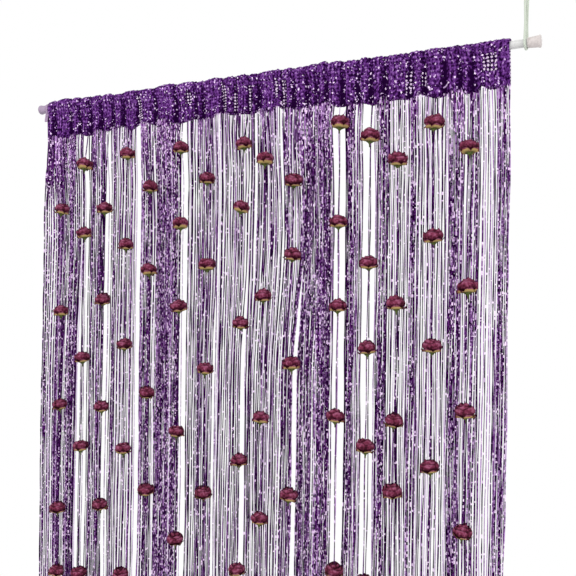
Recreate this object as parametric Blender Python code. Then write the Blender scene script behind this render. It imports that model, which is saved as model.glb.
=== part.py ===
"""A string curtain with threaded roses, gathered on a slim rod.

The origin is on the rod's axis, half-way along the rod. +X runs along the rod, the curtain's front
faces -Y and +Z is up. Tables give millimetres where their comment says so; all else is in metres.
"""
import math
import random
from collections import namedtuple

import bmesh
import bpy
from mathutils import Matrix, Vector

MM = 0.001
PIECE_GAP = 0.0004

# Rod and end caps
ROD_SPAN = 0.9714
ROD_RADIUS = 0.006
ROD_SIDES = 24
CAP_LENGTH = 0.018
CAP_INNER_RADIUS = 0.0073
CAP_OUTER_RADIUS = 0.009
CAP_ROUNDING = 0.0009
CAP_BORE_RADIUS = 0.0063
CAP_BORE_DEPTH = 0.014

# Heading: a tube of knitted cloth, 70 mm tall, gathered on the rod
HEADING_LEFT = -0.456
HEADING_RIGHT = 0.4437
CLOTH_THICKNESS = 0.0012
POCKET_CLEARANCE = 0.0004
POCKET_SIDE = 0.0069
SHOULDER_OUT = 0.0049
SHOULDER_HEIGHT = 0.00495
POCKET_LOW_Z = -0.018
POCKET_LOW_HALF = 0.0014
SLIT_ABOVE_HEM = 0.006
HEM_HALF = 0.0012

# How much of a fold's forward bulge shows on the rod's front and back, and at the pocket's low end, how far
# a raised top carries the pocket's shoulders out and up, and the share of the cloth's thickness, and of the
# bulge, that a shoulder shows along each axis
BULGE_FRONT = 0.25
BULGE_BACK = 0.20
WAVE_LOW = 0.35
LIFT_OUT = 0.35
LIFT_UP = 0.60
SHOULDER_SKIN = 0.7
SHOULDER_BULGE = 0.5

# The heading's left end leans outward towards the hem
LOW_LEAN = 0.3
END_FLARE = 0.007
END_FLARE_REACH = 0.05
FOLD_STEPS = 3
VALLEY_BACK = 2.5
VALLEY_HANG = 54.0
VALLEY_TOP = 7.7

# Each fold of the heading, from its left valley on: where the valley is along the rod (metres), how far its
# crest stands forward of the valley, how far the hem hangs below the rod's axis there, and how high the
# cloth rises over the axis (millimetres)
Fold = namedtuple("Fold", "start forward hang top")
FOLDS = (
    Fold(-0.456, 5, 56, 10),
    Fold(-0.438, 6, 54, 12),
    Fold(-0.401, 5, 55, 12),
    Fold(-0.377, 7, 61, 10),
    Fold(-0.349, 6, 62, 11),
    Fold(-0.323, 4, 56, 12),
    Fold(-0.294, 6, 55, 9),
    Fold(-0.269, 5, 52, 12),
    Fold(-0.233, 7, 50, 11),
    Fold(-0.193, 8, 54, 14),
    Fold(-0.146, 7, 53, 13),
    Fold(-0.102, 3, 53, 11),
    Fold(-0.087, 7, 58, 13),
    Fold(-0.045, 5, 55, 12),
    Fold(-0.020, 6, 54, 12),
    Fold(0.008, 4, 57, 11),
    Fold(0.026, 8, 60, 12),
    Fold(0.074, 4, 56, 12),
    Fold(0.093, 5, 55, 11),
    Fold(0.119, 4, 55, 13),
    Fold(0.137, 3, 54, 15),
    Fold(0.153, 6, 54, 12),
    Fold(0.182, 6, 58, 10),
    Fold(0.209, 5, 57, 11),
    Fold(0.230, 5, 60, 10),
    Fold(0.253, 8, 61, 9),
    Fold(0.294, 5, 61, 10),
    Fold(0.317, 7, 64, 10),
    Fold(0.348, 5, 59, 9),
    Fold(0.371, 4, 62, 9),
    Fold(0.390, 5, 59, 9),
)

# Plain strings: three-sided strands that hang from one narrow strip under the hem
CURTAIN_END_Z = -1.988
END_UNEVEN = 0.006
STRIP_HEIGHT = 0.004
STRIP_HALF = 0.00085
STRAND_HALF_WIDTH = 0.001
STRAND_HALF_DEPTH = 0.00085
KINK_BELOW_HEM = 0.028
PLAIN_DEPTH = 0.0055
LAYER_DEPTH = 0.0013
LOCK_JITTER = 0.10
SEED = 7

# The strings drift together into locks below the hem, with gaps between them: where each lock ends
# along the rod, and how many strings hang in it. The first lock starts at LOCKS_LEFT.
LOCKS_LEFT = -0.475
Lock = namedtuple("Lock", "right strings")
LOCKS = (
    Lock(-0.449, 5),
    Lock(-0.411, 10),
    Lock(-0.395, 5),
    Lock(-0.369, 6),
    Lock(-0.357, 1),
    Lock(-0.323, 9),
    Lock(-0.303, 2),
    Lock(-0.249, 13),
    Lock(-0.231, 2),
    Lock(-0.207, 7),
    Lock(-0.194, 2),
    Lock(-0.140, 19),
    Lock(-0.122, 2),
    Lock(-0.068, 12),
    Lock(-0.056, 2),
    Lock(0.016, 15),
    Lock(0.023, 1),
    Lock(0.053, 9),
    Lock(0.077, 4),
    Lock(0.095, 5),
    Lock(0.107, 2),
    Lock(0.163, 22),
    Lock(0.189, 5),
    Lock(0.217, 9),
    Lock(0.239, 4),
    Lock(0.263, 8),
    Lock(0.305, 10),
    Lock(0.314, 1),
    Lock(0.347, 10),
    Lock(0.359, 2),
    Lock(0.374, 5),
    Lock(0.407, 9),
    Lock(0.427, 2),
    Lock(0.444, 5),
)

# Roses: six-sided, threaded on three-sided strings that hang in front of the plain ones
ROSE_SIDES = 6
ROSE_DEPTH = -0.0115
ROSE_TILT = math.radians(8)
ROSE_SWAY = 0.0012
ROSE_STRAND_HALF_WIDTH = 0.001
ROSE_LOWEST = 1.93

# A rose from its top down: height over its middle and radius (millimetres)
RoseRing = namedtuple("RoseRing", "height radius")
BUD_RIM = RoseRing(11.5, 7.5)
PETAL_RIM = RoseRing(-0.5, 13.7)
CALYX = RoseRing(-9.0, 4.8)
BUD_SUNK = 8.5
STEM_TOP = -13.0
PETAL_NOTCH = 0.9

# Each rose string: where it hangs along the rod, how far its root is pulled to the side, its first rose's
# drop below the rod, and the spacing of the next ones, which then repeats to the end (metres)
RoseString = namedtuple("RoseString", "across pull first gap_a gap_b gap_c gap_d")
ROSE_STRINGS = (
    RoseString(-0.412, 0.000, 0.203, 0.199, 0.182, 0.201, 0.123),
    RoseString(-0.355, 0.000, 0.119, 0.132, 0.238, 0.170, 0.242),
    RoseString(-0.304, 0.001, 0.205, 0.172, 0.202, 0.184, 0.190),
    RoseString(-0.250, 0.003, 0.106, 0.168, 0.185, 0.193, 0.232),
    RoseString(-0.195, 0.000, 0.170, 0.151, 0.223, 0.176, 0.190),
    RoseString(-0.127, -0.002, 0.104, 0.135, 0.147, 0.222, 0.190),
    RoseString(-0.069, 0.002, 0.162, 0.150, 0.181, 0.215, 0.175),
    RoseString(0.002, 0.003, 0.107, 0.108, 0.196, 0.232, 0.185),
    RoseString(0.046, 0.000, 0.136, 0.228, 0.203, 0.168, 0.190),
    RoseString(0.101, 0.001, 0.175, 0.121, 0.178, 0.214, 0.185),
    RoseString(0.183, 0.013, 0.088, 0.157, 0.133, 0.174, 0.243),
    RoseString(0.234, 0.000, 0.113, 0.197, 0.132, 0.152, 0.210),
    RoseString(0.279, 0.001, 0.153, 0.219, 0.178, 0.107, 0.200),
    RoseString(0.337, -0.001, 0.102, 0.169, 0.163, 0.179, 0.195),
    RoseString(0.388, 0.001, 0.143, 0.202, 0.181, 0.175, 0.190),
)

# Hanging cord: two legs that rise from a loop under the rod to a fitting above the view
CORD_RADIUS = 0.0018
CORD_X = 0.4648
CORD_SIDES_RESOLUTION = 2
CORD_SUBSTEPS = 1

# One leg of the cord, from the fitting down to the loop's lowest point, in millimetres from
# (CORD_X, 0, 0); the other leg mirrors it in X and Y
RoutePoint = namedtuple("RoutePoint", "across depth height")
CORD_LEG = (
    RoutePoint(-2.2, -0.6, 68.7),
    RoutePoint(-2.2, -0.8, 62.0),
    RoutePoint(-2.1, -1.4, 53.0),
    RoutePoint(-1.9, -2.4, 43.0),
    RoutePoint(-1.6, -3.8, 33.0),
    RoutePoint(-1.2, -5.4, 23.0),
    RoutePoint(-0.8, -7.2, 13.0),
    RoutePoint(-0.5, -8.2, 5.5),
    RoutePoint(-0.3, -8.4, 1.0),
    RoutePoint(-0.2, -7.8, -3.2),
    RoutePoint(-0.1, -5.9, -6.1),
    RoutePoint(0.0, -3.1, -7.9),
    RoutePoint(0.0, 0.0, -8.5),
)

# Ceiling fitting: a neck under a flat plate, turned about the cord
HOOK_BASE_Z = 0.069
HOOK_NECK_RADIUS = 0.0065
HOOK_NECK_HEIGHT = 0.008
HOOK_PLATE_RADIUS = 0.016
HOOK_PLATE_THICKNESS = 0.004
HOOK_PLATE_BEVEL = 0.0016
HOOK_SIDES = 24

# Tie at the left end: a doubled cord wrapped once round the rod, with two short free ends
TIE_X = -0.4620
TIE_CORD_RADIUS = 0.0018
TIE_WRAP_INNER = 0.0064
TIE_WRAP_OUTER = 0.0096
TIE_SIDES = 16
TIE_SPREAD = 0.00195
TIE_GROOVE = 0.0008
TIE_TAIL_DEPTH = -0.0052

# The tie's free end, from the wrap down, in millimetres from (its own X, TIE_TAIL_DEPTH, 0)
TIE_TAIL = (
    RoutePoint(0.0, 0.0, -10.4),
    RoutePoint(-0.2, -0.3, -14.5),
    RoutePoint(-0.7, -0.6, -18.5),
    RoutePoint(-1.2, -0.7, -22.5),
    RoutePoint(-1.5, -0.6, -26.5),
)

# Colours, as linear red, green and blue
YARN_PURPLE = (0.095, 0.022, 0.190)
PETAL_MAROON = (0.150, 0.022, 0.045)
ROD_WHITE = (0.780, 0.760, 0.740)
CAP_WHITE = (0.700, 0.640, 0.620)
CORD_PALE = (0.560, 0.600, 0.480)
TIE_PALE = (0.520, 0.440, 0.480)

Station = namedtuple("Station", "x wave hang top bulge")
EdgePoint = namedtuple("EdgePoint", "x y z")


def clear_scene():
    for item in list(bpy.data.objects):
        bpy.data.objects.remove(item, do_unlink=True)


def make_material(name, colour, roughness, metallic=0.0):
    material = bpy.data.materials.new(name)
    material.use_nodes = True
    shader = material.node_tree.nodes["Principled BSDF"]
    shader.inputs["Base Color"].default_value = (*colour, 1.0)
    shader.inputs["Roughness"].default_value = roughness
    shader.inputs["Metallic"].default_value = metallic
    return material


def add_object(name, data, material, parent):
    piece = bpy.data.objects.new(name, data)
    data.materials.append(material)
    bpy.context.scene.collection.objects.link(piece)
    piece.parent = parent
    return piece


def mesh_from_bmesh(name, shape, smooth_angle=None):
    bmesh.ops.recalc_face_normals(shape, faces=shape.faces[:])
    data = bpy.data.meshes.new(name)
    shape.to_mesh(data)
    shape.free()
    if smooth_angle is not None:
        data.shade_smooth()
        data.set_sharp_from_angle(angle=smooth_angle)
    return data


def turned_mesh(name, profile, sides):
    """A closed mesh turned about Z from (radius, height) points; a zero radius is a pole."""
    shape = bmesh.new()
    rings = []
    for radius, height in profile:
        if radius == 0.0:
            rings.append([shape.verts.new((0.0, 0.0, height))])
            continue
        ring = []
        for side in range(sides):
            angle = math.tau * side / sides
            ring.append(shape.verts.new((radius * math.cos(angle), radius * math.sin(angle), height)))
        rings.append(ring)
    for upper, lower in zip(rings, rings[1:]):
        for side in range(sides):
            after = (side + 1) % sides
            if len(upper) == 1:
                shape.faces.new((upper[0], lower[side], lower[after]))
            elif len(lower) == 1:
                shape.faces.new((upper[side], lower[0], upper[after]))
            else:
                shape.faces.new((upper[side], lower[side], lower[after], upper[after]))
    return mesh_from_bmesh(name, shape, math.radians(35))


def smooth_route(points, substeps):
    """Points on a Catmull-Rom curve through the given ones."""
    route = []
    last = len(points) - 1
    for index in range(last):
        before = points[max(index - 1, 0)]
        start = points[index]
        end = points[index + 1]
        after = points[min(index + 2, last)]
        for step in range(substeps):
            t = step / substeps
            route.append(0.5 * (2 * start + (end - before) * t
                                + (2 * before - 5 * start + 4 * end - after) * t ** 2
                                + (3 * start - before - 3 * end + after) * t ** 3))
    route.append(points[last])
    return route


def tube_curve(name, points, radius):
    data = bpy.data.curves.new(name, "CURVE")
    data.dimensions = "3D"
    data.bevel_depth = radius
    data.bevel_resolution = CORD_SIDES_RESOLUTION
    data.use_fill_caps = True
    spline = data.splines.new("POLY")
    spline.points.add(len(points) - 1)
    for target, point in zip(spline.points, points):
        target.co = (*point, 1.0)
    return data


def heading_stations():
    """The heading's cross-sections along the rod, three to a fold, worked out from FOLDS."""
    stations = []
    ends = [fold.start for fold in FOLDS[1:]] + [HEADING_RIGHT]
    for fold, end in zip(FOLDS, ends):
        for step in range(FOLD_STEPS):
            share = step / FOLD_STEPS
            rise = math.sin(math.pi * share)
            stations.append(Station(
                fold.start + share * (end - fold.start),
                (VALLEY_BACK - fold.forward * rise) * MM,
                (VALLEY_HANG + (fold.hang - VALLEY_HANG) * rise) * MM,
                (VALLEY_TOP + (fold.top - VALLEY_TOP) * rise) * MM,
                fold.forward * rise * MM,
            ))
    stations.append(Station(HEADING_RIGHT, VALLEY_BACK * MM, VALLEY_HANG * MM, VALLEY_TOP * MM, 0.0))
    return stations


def flared_x(x, share_down):
    """The heading's left end leans outward towards the hem."""
    reach = max(0.0, 1.0 - (x - HEADING_LEFT) / END_FLARE_REACH)
    return x - END_FLARE * reach * share_down


def pocket_rings(station):
    """The outer and the inner outline of the rod pocket at one station, from the front of the hem,
    up over the rod and down to the back of the hem."""
    lift = station.top - CLOTH_THICKNESS - ROD_RADIUS - POCKET_CLEARANCE
    front = BULGE_FRONT * station.bulge
    back = BULGE_BACK * station.bulge
    low_shift = WAVE_LOW * station.wave
    shoulder_front = SHOULDER_OUT + LIFT_OUT * lift + SHOULDER_BULGE * front
    shoulder_back = SHOULDER_OUT + LIFT_OUT * lift + SHOULDER_BULGE * back
    shoulder_z = SHOULDER_HEIGHT + LIFT_UP * lift
    skin = SHOULDER_SKIN * CLOTH_THICKNESS
    low_x = flared_x(station.x, LOW_LEAN)
    hem_x = flared_x(station.x, 1.0)
    hem_z = -station.hang
    outer = [
        (hem_x, station.wave - HEM_HALF, hem_z),
        (low_x, low_shift - POCKET_LOW_HALF - CLOTH_THICKNESS, POCKET_LOW_Z),
        (station.x, -POCKET_SIDE - CLOTH_THICKNESS - front, 0.0),
        (station.x, -shoulder_front - skin, shoulder_z + skin),
        (station.x, 0.0, station.top),
        (station.x, shoulder_back + skin, shoulder_z + skin),
        (station.x, POCKET_SIDE + CLOTH_THICKNESS + back, 0.0),
        (low_x, low_shift + POCKET_LOW_HALF + CLOTH_THICKNESS, POCKET_LOW_Z),
        (hem_x, station.wave + HEM_HALF, hem_z),
    ]
    inner = [
        (hem_x, station.wave, hem_z + SLIT_ABOVE_HEM),
        (low_x, low_shift - POCKET_LOW_HALF, POCKET_LOW_Z),
        (station.x, -POCKET_SIDE - front, 0.0),
        (station.x, -shoulder_front, shoulder_z),
        (station.x, 0.0, station.top - CLOTH_THICKNESS),
        (station.x, shoulder_back, shoulder_z),
        (station.x, POCKET_SIDE + back, 0.0),
        (low_x, low_shift + POCKET_LOW_HALF, POCKET_LOW_Z),
    ]
    return outer, inner


def build_heading(parent, material, stations):
    shape = bmesh.new()
    outers = []
    inners = []
    for station in stations:
        outer, inner = pocket_rings(station)
        outers.append([shape.verts.new(point) for point in outer])
        inners.append([shape.verts.new(point) for point in inner])
    for rings in (outers, inners):
        for left, right in zip(rings, rings[1:]):
            count = len(left)
            for index in range(count):
                after = (index + 1) % count
                shape.faces.new((left[index], left[after], right[after], right[index]))
    for outer, inner in ((outers[0], inners[0]), (outers[-1], inners[-1])):
        wrapped = inner + inner[:1]
        for index in range(len(inner)):
            shape.faces.new((outer[index], outer[index + 1], wrapped[index + 1], wrapped[index]))
        shape.faces.new((outer[-1], outer[0], inner[0]))
    data = mesh_from_bmesh("heading", shape, math.radians(60))
    add_object("heading", data, material, parent)


def hem_edge(stations):
    """The middle line of the heading's hem."""
    return [EdgePoint(flared_x(station.x, 1.0), station.wave, -station.hang) for station in stations]


def edge_at(edge, x):
    """The hem's depth and height at x, straight between its stations."""
    for left, right in zip(edge, edge[1:]):
        if x <= right.x:
            break
    share = (x - left.x) / (right.x - left.x)
    return left.y + share * (right.y - left.y), left.z + share * (right.z - left.z)


def lock_places(rng):
    """Where each plain string hangs along the rod once it has drifted into its lock."""
    places = []
    left = LOCKS_LEFT
    for lock in LOCKS:
        step = (lock.right - left) / lock.strings
        for index in range(lock.strings):
            offset = 0.5 + rng.uniform(-LOCK_JITTER, LOCK_JITTER)
            places.append(left + (index + offset) * step)
        left = lock.right
    return places


def zip_rows(shape, upper, lower):
    """Triangles between two rows of vertices that both run along X."""
    high = 0
    low = 0
    while high < len(upper) - 1 or low < len(lower) - 1:
        take_upper = low == len(lower) - 1
        if high < len(upper) - 1 and not take_upper:
            take_upper = upper[high + 1].co.x < lower[low + 1].co.x
        if take_upper:
            shape.faces.new((upper[high], upper[high + 1], lower[low]))
            high += 1
        else:
            shape.faces.new((upper[high], lower[low + 1], lower[low]))
            low += 1


def build_strings(parent, material, edge):
    """The strip and its strands as one comb. Roots are triangles whose base is on the strip's front on
    every second strand and on its back on the others."""
    rng = random.Random(SEED)
    places = lock_places(rng)
    count = len(places)
    first = edge[0].x
    pitch = (edge[-1].x - first) / count
    shape = bmesh.new()

    def strip_vertex(x, side):
        y, z = edge_at(edge, x)
        return shape.verts.new((x, y + side * STRIP_HALF, z - PIECE_GAP - STRIP_HEIGHT))

    front_low = [strip_vertex(first, -1)]
    back_low = [strip_vertex(first, 1)]
    before = (front_low[0], back_low[0])
    for index, place in enumerate(places):
        x = first + (index + 0.5) * pitch
        side = -1 if index % 2 == 0 else 1
        base_left = strip_vertex(x - STRAND_HALF_WIDTH, side)
        base_right = strip_vertex(x + STRAND_HALF_WIDTH, side)
        apex = strip_vertex(x, -side)
        if side == -1:
            front_low += [base_left, base_right]
            back_low.append(apex)
            here = (base_left, apex)
            after = (base_right, apex)
        else:
            front_low.append(apex)
            back_low += [base_left, base_right]
            here = (apex, base_left)
            after = (apex, base_right)
        shape.faces.new((before[0], here[0], here[1], before[1]))
        before = after
        root_z = apex.co.z
        depth = PLAIN_DEPTH + side * LAYER_DEPTH
        end_z = CURTAIN_END_Z + rng.uniform(-END_UNEVEN, END_UNEVEN)
        rings = [(base_left, base_right, apex)]
        for z in (root_z - KINK_BELOW_HEM, end_z):
            rings.append((
                shape.verts.new((place - STRAND_HALF_WIDTH, depth + side * STRAND_HALF_DEPTH, z)),
                shape.verts.new((place + STRAND_HALF_WIDTH, depth + side * STRAND_HALF_DEPTH, z)),
                shape.verts.new((place, depth - side * STRAND_HALF_DEPTH, z)),
            ))
        for upper, lower in zip(rings, rings[1:]):
            for corner in range(3):
                beside = (corner + 1) % 3
                shape.faces.new((upper[corner], upper[beside], lower[beside], lower[corner]))
        shape.faces.new(rings[-1])
    front_low.append(strip_vertex(edge[-1].x, -1))
    back_low.append(strip_vertex(edge[-1].x, 1))
    shape.faces.new((before[0], front_low[-1], back_low[-1], before[1]))

    front_top = [shape.verts.new((p.x, p.y - STRIP_HALF, p.z - PIECE_GAP)) for p in edge]
    back_top = [shape.verts.new((p.x, p.y + STRIP_HALF, p.z - PIECE_GAP)) for p in edge]
    for index in range(len(edge) - 1):
        shape.faces.new((front_top[index], front_top[index + 1], back_top[index + 1], back_top[index]))
    zip_rows(shape, front_top, front_low)
    zip_rows(shape, back_top, back_low)
    for end in (0, -1):
        shape.faces.new((front_top[end], back_top[end], back_low[end], front_low[end]))
    add_object("strings", mesh_from_bmesh("strings", shape), material, parent)


def rose_drops(row):
    """How far below the rod each rose of a string hangs."""
    gaps = (row.gap_a, row.gap_b, row.gap_c, row.gap_d)
    drops = []
    drop = row.first
    while drop < ROSE_LOWEST:
        drops.append(drop)
        drop += gaps[(len(drops) - 1) % len(gaps)]
    return drops


def strand_ring(shape, x, y, z):
    """A three-cornered section of a rose string, with its flat side to the back."""
    width = ROSE_STRAND_HALF_WIDTH
    depth = STRAND_HALF_DEPTH
    corners = ((-width, depth), (0.0, -depth), (width, depth))
    return [shape.verts.new((x + across, y + back, z)) for across, back in corners]


def rose_ring(shape, centre, turn, spec, notch):
    ring = []
    for side in range(ROSE_SIDES):
        angle = math.tau * side / ROSE_SIDES + math.tau / 3
        radius = spec.radius * MM * (notch if side % 2 else 1.0)
        offset = turn @ Vector((radius * math.cos(angle), radius * math.sin(angle), spec.height * MM))
        ring.append(shape.verts.new(centre + offset))
    return ring


def join_three_to_six(shape, three, six):
    """Faces between a strand's three corners and a rose's six; corner k faces six's 2k and 2k + 1."""
    for corner in range(3):
        beside = (corner + 1) % 3
        near = six[2 * corner]
        far = six[2 * corner + 1]
        onward = six[(2 * corner + 2) % ROSE_SIDES]
        shape.faces.new((three[corner], near, far))
        shape.faces.new((three[corner], far, three[beside]))
        shape.faces.new((three[beside], far, onward))


def join_rings(shape, upper, lower):
    count = len(upper)
    for side in range(count):
        after = (side + 1) % count
        shape.faces.new((upper[side], lower[side], lower[after], upper[after]))


def build_rose_string(number, row, parent, material, edge):
    name = f"rose_string_{number:02d}"
    rng = random.Random(SEED + number)
    shape = bmesh.new()
    root_x = row.across + row.pull
    sides = [edge_at(edge, root_x + side * ROSE_STRAND_HALF_WIDTH) for side in (-1, 1)]
    hem_y = min(y for y, z in sides)
    hem_z = min(z for y, z in sides)
    root_y = hem_y - STRIP_HALF - PIECE_GAP - STRAND_HALF_DEPTH
    ring = strand_ring(shape, root_x, root_y, hem_z - PIECE_GAP)
    shape.faces.new(ring)
    for drop in rose_drops(row):
        x = row.across + rng.uniform(-ROSE_SWAY, ROSE_SWAY)
        centre = Vector((x, ROSE_DEPTH, -drop))
        tilt = rng.uniform(-ROSE_TILT, ROSE_TILT)
        nod = rng.uniform(-ROSE_TILT, ROSE_TILT)
        turn = Matrix.Rotation(tilt, 3, "Y") @ Matrix.Rotation(nod, 3, "X")
        above = strand_ring(shape, x, ROSE_DEPTH, -drop + BUD_SUNK * MM)
        join_rings(shape, ring, above)
        rim = rose_ring(shape, centre, turn, BUD_RIM, 1.0)
        widest = rose_ring(shape, centre, turn, PETAL_RIM, PETAL_NOTCH)
        calyx = rose_ring(shape, centre, turn, CALYX, 1.0)
        below = strand_ring(shape, x, ROSE_DEPTH, -drop + STEM_TOP * MM)
        join_three_to_six(shape, above, rim)
        join_rings(shape, rim, widest)
        join_rings(shape, widest, calyx)
        join_three_to_six(shape, below, calyx)
        ring = below
    tip = strand_ring(shape, row.across, ROSE_DEPTH, CURTAIN_END_Z + rng.uniform(-END_UNEVEN, END_UNEVEN))
    join_rings(shape, ring, tip)
    shape.faces.new(tip)
    add_object(name, mesh_from_bmesh(name, shape), material, parent)


def build_rod(parent, material):
    length = ROD_SPAN - 2 * (CAP_LENGTH - CAP_BORE_DEPTH + PIECE_GAP)
    half = length / 2
    profile = ((0.0, half), (ROD_RADIUS, half), (ROD_RADIUS, -half), (0.0, -half))
    rod = add_object("rod", turned_mesh("rod", profile, ROD_SIDES), material, parent)
    rod.rotation_euler = (0.0, math.pi / 2, 0.0)


def build_cap(name, side, parent, material):
    """A flared sleeve over the rod's end, closed by a flat outer face. It is turned with its outer
    face up, then laid along the rod; side is -1 on the left and 1 on the right."""
    profile = (
        (0.0, 0.0),
        (CAP_OUTER_RADIUS - CAP_ROUNDING, 0.0),
        (CAP_OUTER_RADIUS, -CAP_ROUNDING),
        (CAP_INNER_RADIUS, -CAP_LENGTH),
        (CAP_BORE_RADIUS, -CAP_LENGTH),
        (CAP_BORE_RADIUS, -CAP_LENGTH + CAP_BORE_DEPTH),
        (0.0, -CAP_LENGTH + CAP_BORE_DEPTH),
    )
    cap = add_object(name, turned_mesh(name, profile, ROD_SIDES), material, parent)
    cap.rotation_euler = (0.0, side * math.pi / 2, 0.0)
    cap.location = (side * ROD_SPAN / 2, 0.0, 0.0)


def build_hang_cord(parent, material):
    leg = [Vector((p.across, p.depth, p.height)) * MM for p in CORD_LEG]
    other = [Vector((-p.x, -p.y, p.z)) for p in reversed(leg[:-1])]
    route = smooth_route(leg + other, CORD_SUBSTEPS)
    cord = add_object("hang_cord", tube_curve("hang_cord", route, CORD_RADIUS), material, parent)
    cord.location = (CORD_X, 0.0, 0.0)


def build_hook(parent, material):
    neck_top = HOOK_NECK_HEIGHT
    plate_top = neck_top + HOOK_PLATE_THICKNESS
    profile = (
        (0.0, plate_top),
        (HOOK_PLATE_RADIUS, plate_top),
        (HOOK_PLATE_RADIUS, neck_top + HOOK_PLATE_BEVEL),
        (HOOK_NECK_RADIUS, neck_top),
        (HOOK_NECK_RADIUS, 0.0),
        (0.0, 0.0),
    )
    hook = add_object("cord_hook", turned_mesh("cord_hook", profile, HOOK_SIDES), material, parent)
    hook.location = (CORD_X, 0.0, HOOK_BASE_Z)


def build_tie(parent, material):
    """Two turns of cord side by side round the rod, as one ring with a groove, and two free ends."""
    middle = (TIE_WRAP_INNER + TIE_WRAP_OUTER) / 2
    half_width = TIE_SPREAD + TIE_CORD_RADIUS
    outline = (
        (TIE_WRAP_INNER, half_width - TIE_GROOVE),
        (middle, half_width),
        (TIE_WRAP_OUTER, TIE_SPREAD),
        (middle + TIE_GROOVE, 0.0),
        (TIE_WRAP_OUTER, -TIE_SPREAD),
        (middle, -half_width),
        (TIE_WRAP_INNER, -half_width + TIE_GROOVE),
    )
    shape = bmesh.new()
    rings = []
    for radius, along in outline:
        ring = []
        for side in range(TIE_SIDES):
            angle = math.tau * (side + 0.5) / TIE_SIDES
            ring.append(shape.verts.new((radius * math.cos(angle), radius * math.sin(angle), along)))
        rings.append(ring)
    for upper, lower in zip(rings, rings[1:] + rings[:1]):
        join_rings(shape, upper, lower)
    data = mesh_from_bmesh("tie_left", shape, math.radians(50))
    wrap = add_object("tie_left", data, material, parent)
    wrap.rotation_euler = (0.0, math.pi / 2, 0.0)
    wrap.location = (TIE_X, 0.0, 0.0)
    for name, side in (("tie_tail_a", -1), ("tie_tail_b", 1)):
        points = [Vector((p.across, p.depth, p.height)) * MM for p in TIE_TAIL]
        tail = add_object(name, tube_curve(name, points, TIE_CORD_RADIUS), material, parent)
        tail.location = (TIE_X + side * TIE_SPREAD, TIE_TAIL_DEPTH, 0.0)


def main():
    clear_scene()
    curtain = bpy.data.objects.new("curtain", None)
    bpy.context.scene.collection.objects.link(curtain)

    yarn = make_material("yarn", YARN_PURPLE, 0.55, 0.25)
    petals = make_material("petals", PETAL_MAROON, 0.75)
    rod_white = make_material("rod white", ROD_WHITE, 0.35)
    cap_white = make_material("cap white", CAP_WHITE, 0.40)
    cord_pale = make_material("cord", CORD_PALE, 0.80)
    tie_pale = make_material("tie", TIE_PALE, 0.80)

    stations = heading_stations()
    edge = hem_edge(stations)
    build_heading(curtain, yarn, stations)
    build_strings(curtain, yarn, edge)
    for number, row in enumerate(ROSE_STRINGS, start=1):
        build_rose_string(number, row, curtain, petals, edge)
    build_rod(curtain, rod_white)
    build_cap("cap_left", -1, curtain, cap_white)
    build_cap("cap_right", 1, curtain, cap_white)
    build_hang_cord(curtain, cord_pale)
    build_hook(curtain, cap_white)
    build_tie(curtain, tie_pale)


main()
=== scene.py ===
"""The looks of a string curtain with roses, gathered on a slim rod.

The script is laid out as an add-on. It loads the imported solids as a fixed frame, and each operator
dresses one piece, or one group of like pieces, around them. Lengths are in metres, in the frame of the
solids: +X along the rod, -Y towards the front and +Z up. Tables give millimetres where they say so.
"""
import math
from collections import namedtuple

import bpy
import numpy as np
from bpy.props import FloatProperty, FloatVectorProperty, IntProperty, PointerProperty
from mathutils import Matrix, Vector


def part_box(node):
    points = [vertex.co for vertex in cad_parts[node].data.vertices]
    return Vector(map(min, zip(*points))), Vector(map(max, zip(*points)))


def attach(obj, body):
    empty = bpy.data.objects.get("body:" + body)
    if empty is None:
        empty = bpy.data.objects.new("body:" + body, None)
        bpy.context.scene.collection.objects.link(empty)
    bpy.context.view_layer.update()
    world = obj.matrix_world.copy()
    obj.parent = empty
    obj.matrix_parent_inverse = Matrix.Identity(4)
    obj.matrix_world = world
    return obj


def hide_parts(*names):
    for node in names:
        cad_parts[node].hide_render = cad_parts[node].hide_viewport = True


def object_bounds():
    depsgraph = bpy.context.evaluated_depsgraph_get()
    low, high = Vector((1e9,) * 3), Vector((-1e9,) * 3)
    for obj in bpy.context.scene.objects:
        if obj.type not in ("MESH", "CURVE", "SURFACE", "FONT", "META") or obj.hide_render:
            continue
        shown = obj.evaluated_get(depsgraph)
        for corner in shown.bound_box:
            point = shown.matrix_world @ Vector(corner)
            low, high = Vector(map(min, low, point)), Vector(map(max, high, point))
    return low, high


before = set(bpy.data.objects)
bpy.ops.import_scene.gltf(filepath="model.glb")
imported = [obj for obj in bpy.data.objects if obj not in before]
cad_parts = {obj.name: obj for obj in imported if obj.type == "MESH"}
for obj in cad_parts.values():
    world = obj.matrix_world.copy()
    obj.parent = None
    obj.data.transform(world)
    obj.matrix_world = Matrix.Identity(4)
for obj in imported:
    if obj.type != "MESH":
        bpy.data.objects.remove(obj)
CAD_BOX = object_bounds()

bl_info = {
    "name": "String curtain with roses",
    "version": (1, 0, 0),
    "blender": (4, 5, 0),
    "location": "3D View > Sidebar > String curtain",
    "description": "Dresses a string curtain, its roses, its rod and its cords",
    "category": "Object",
}

MM = 0.001
SEED = 11
BODY = "root"

# Heading, as the solid has it
ROD_RADIUS = 0.006
HEADING_LEFT = -0.456
HEADING_RIGHT = 0.4437
CLOTH_THICKNESS = 0.0012
POCKET_CLEARANCE = 0.0004
POCKET_SIDE = 0.0069
SHOULDER_OUT = 0.0049
SHOULDER_HEIGHT = 0.00495
POCKET_LOW_Z = -0.018
POCKET_LOW_HALF = 0.0014
BULGE_FRONT = 0.25
BULGE_BACK = 0.20
WAVE_LOW = 0.35
LIFT_OUT = 0.35
LIFT_UP = 0.60
VALLEY_BACK = 2.5
VALLEY_TOP = 7.7

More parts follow.
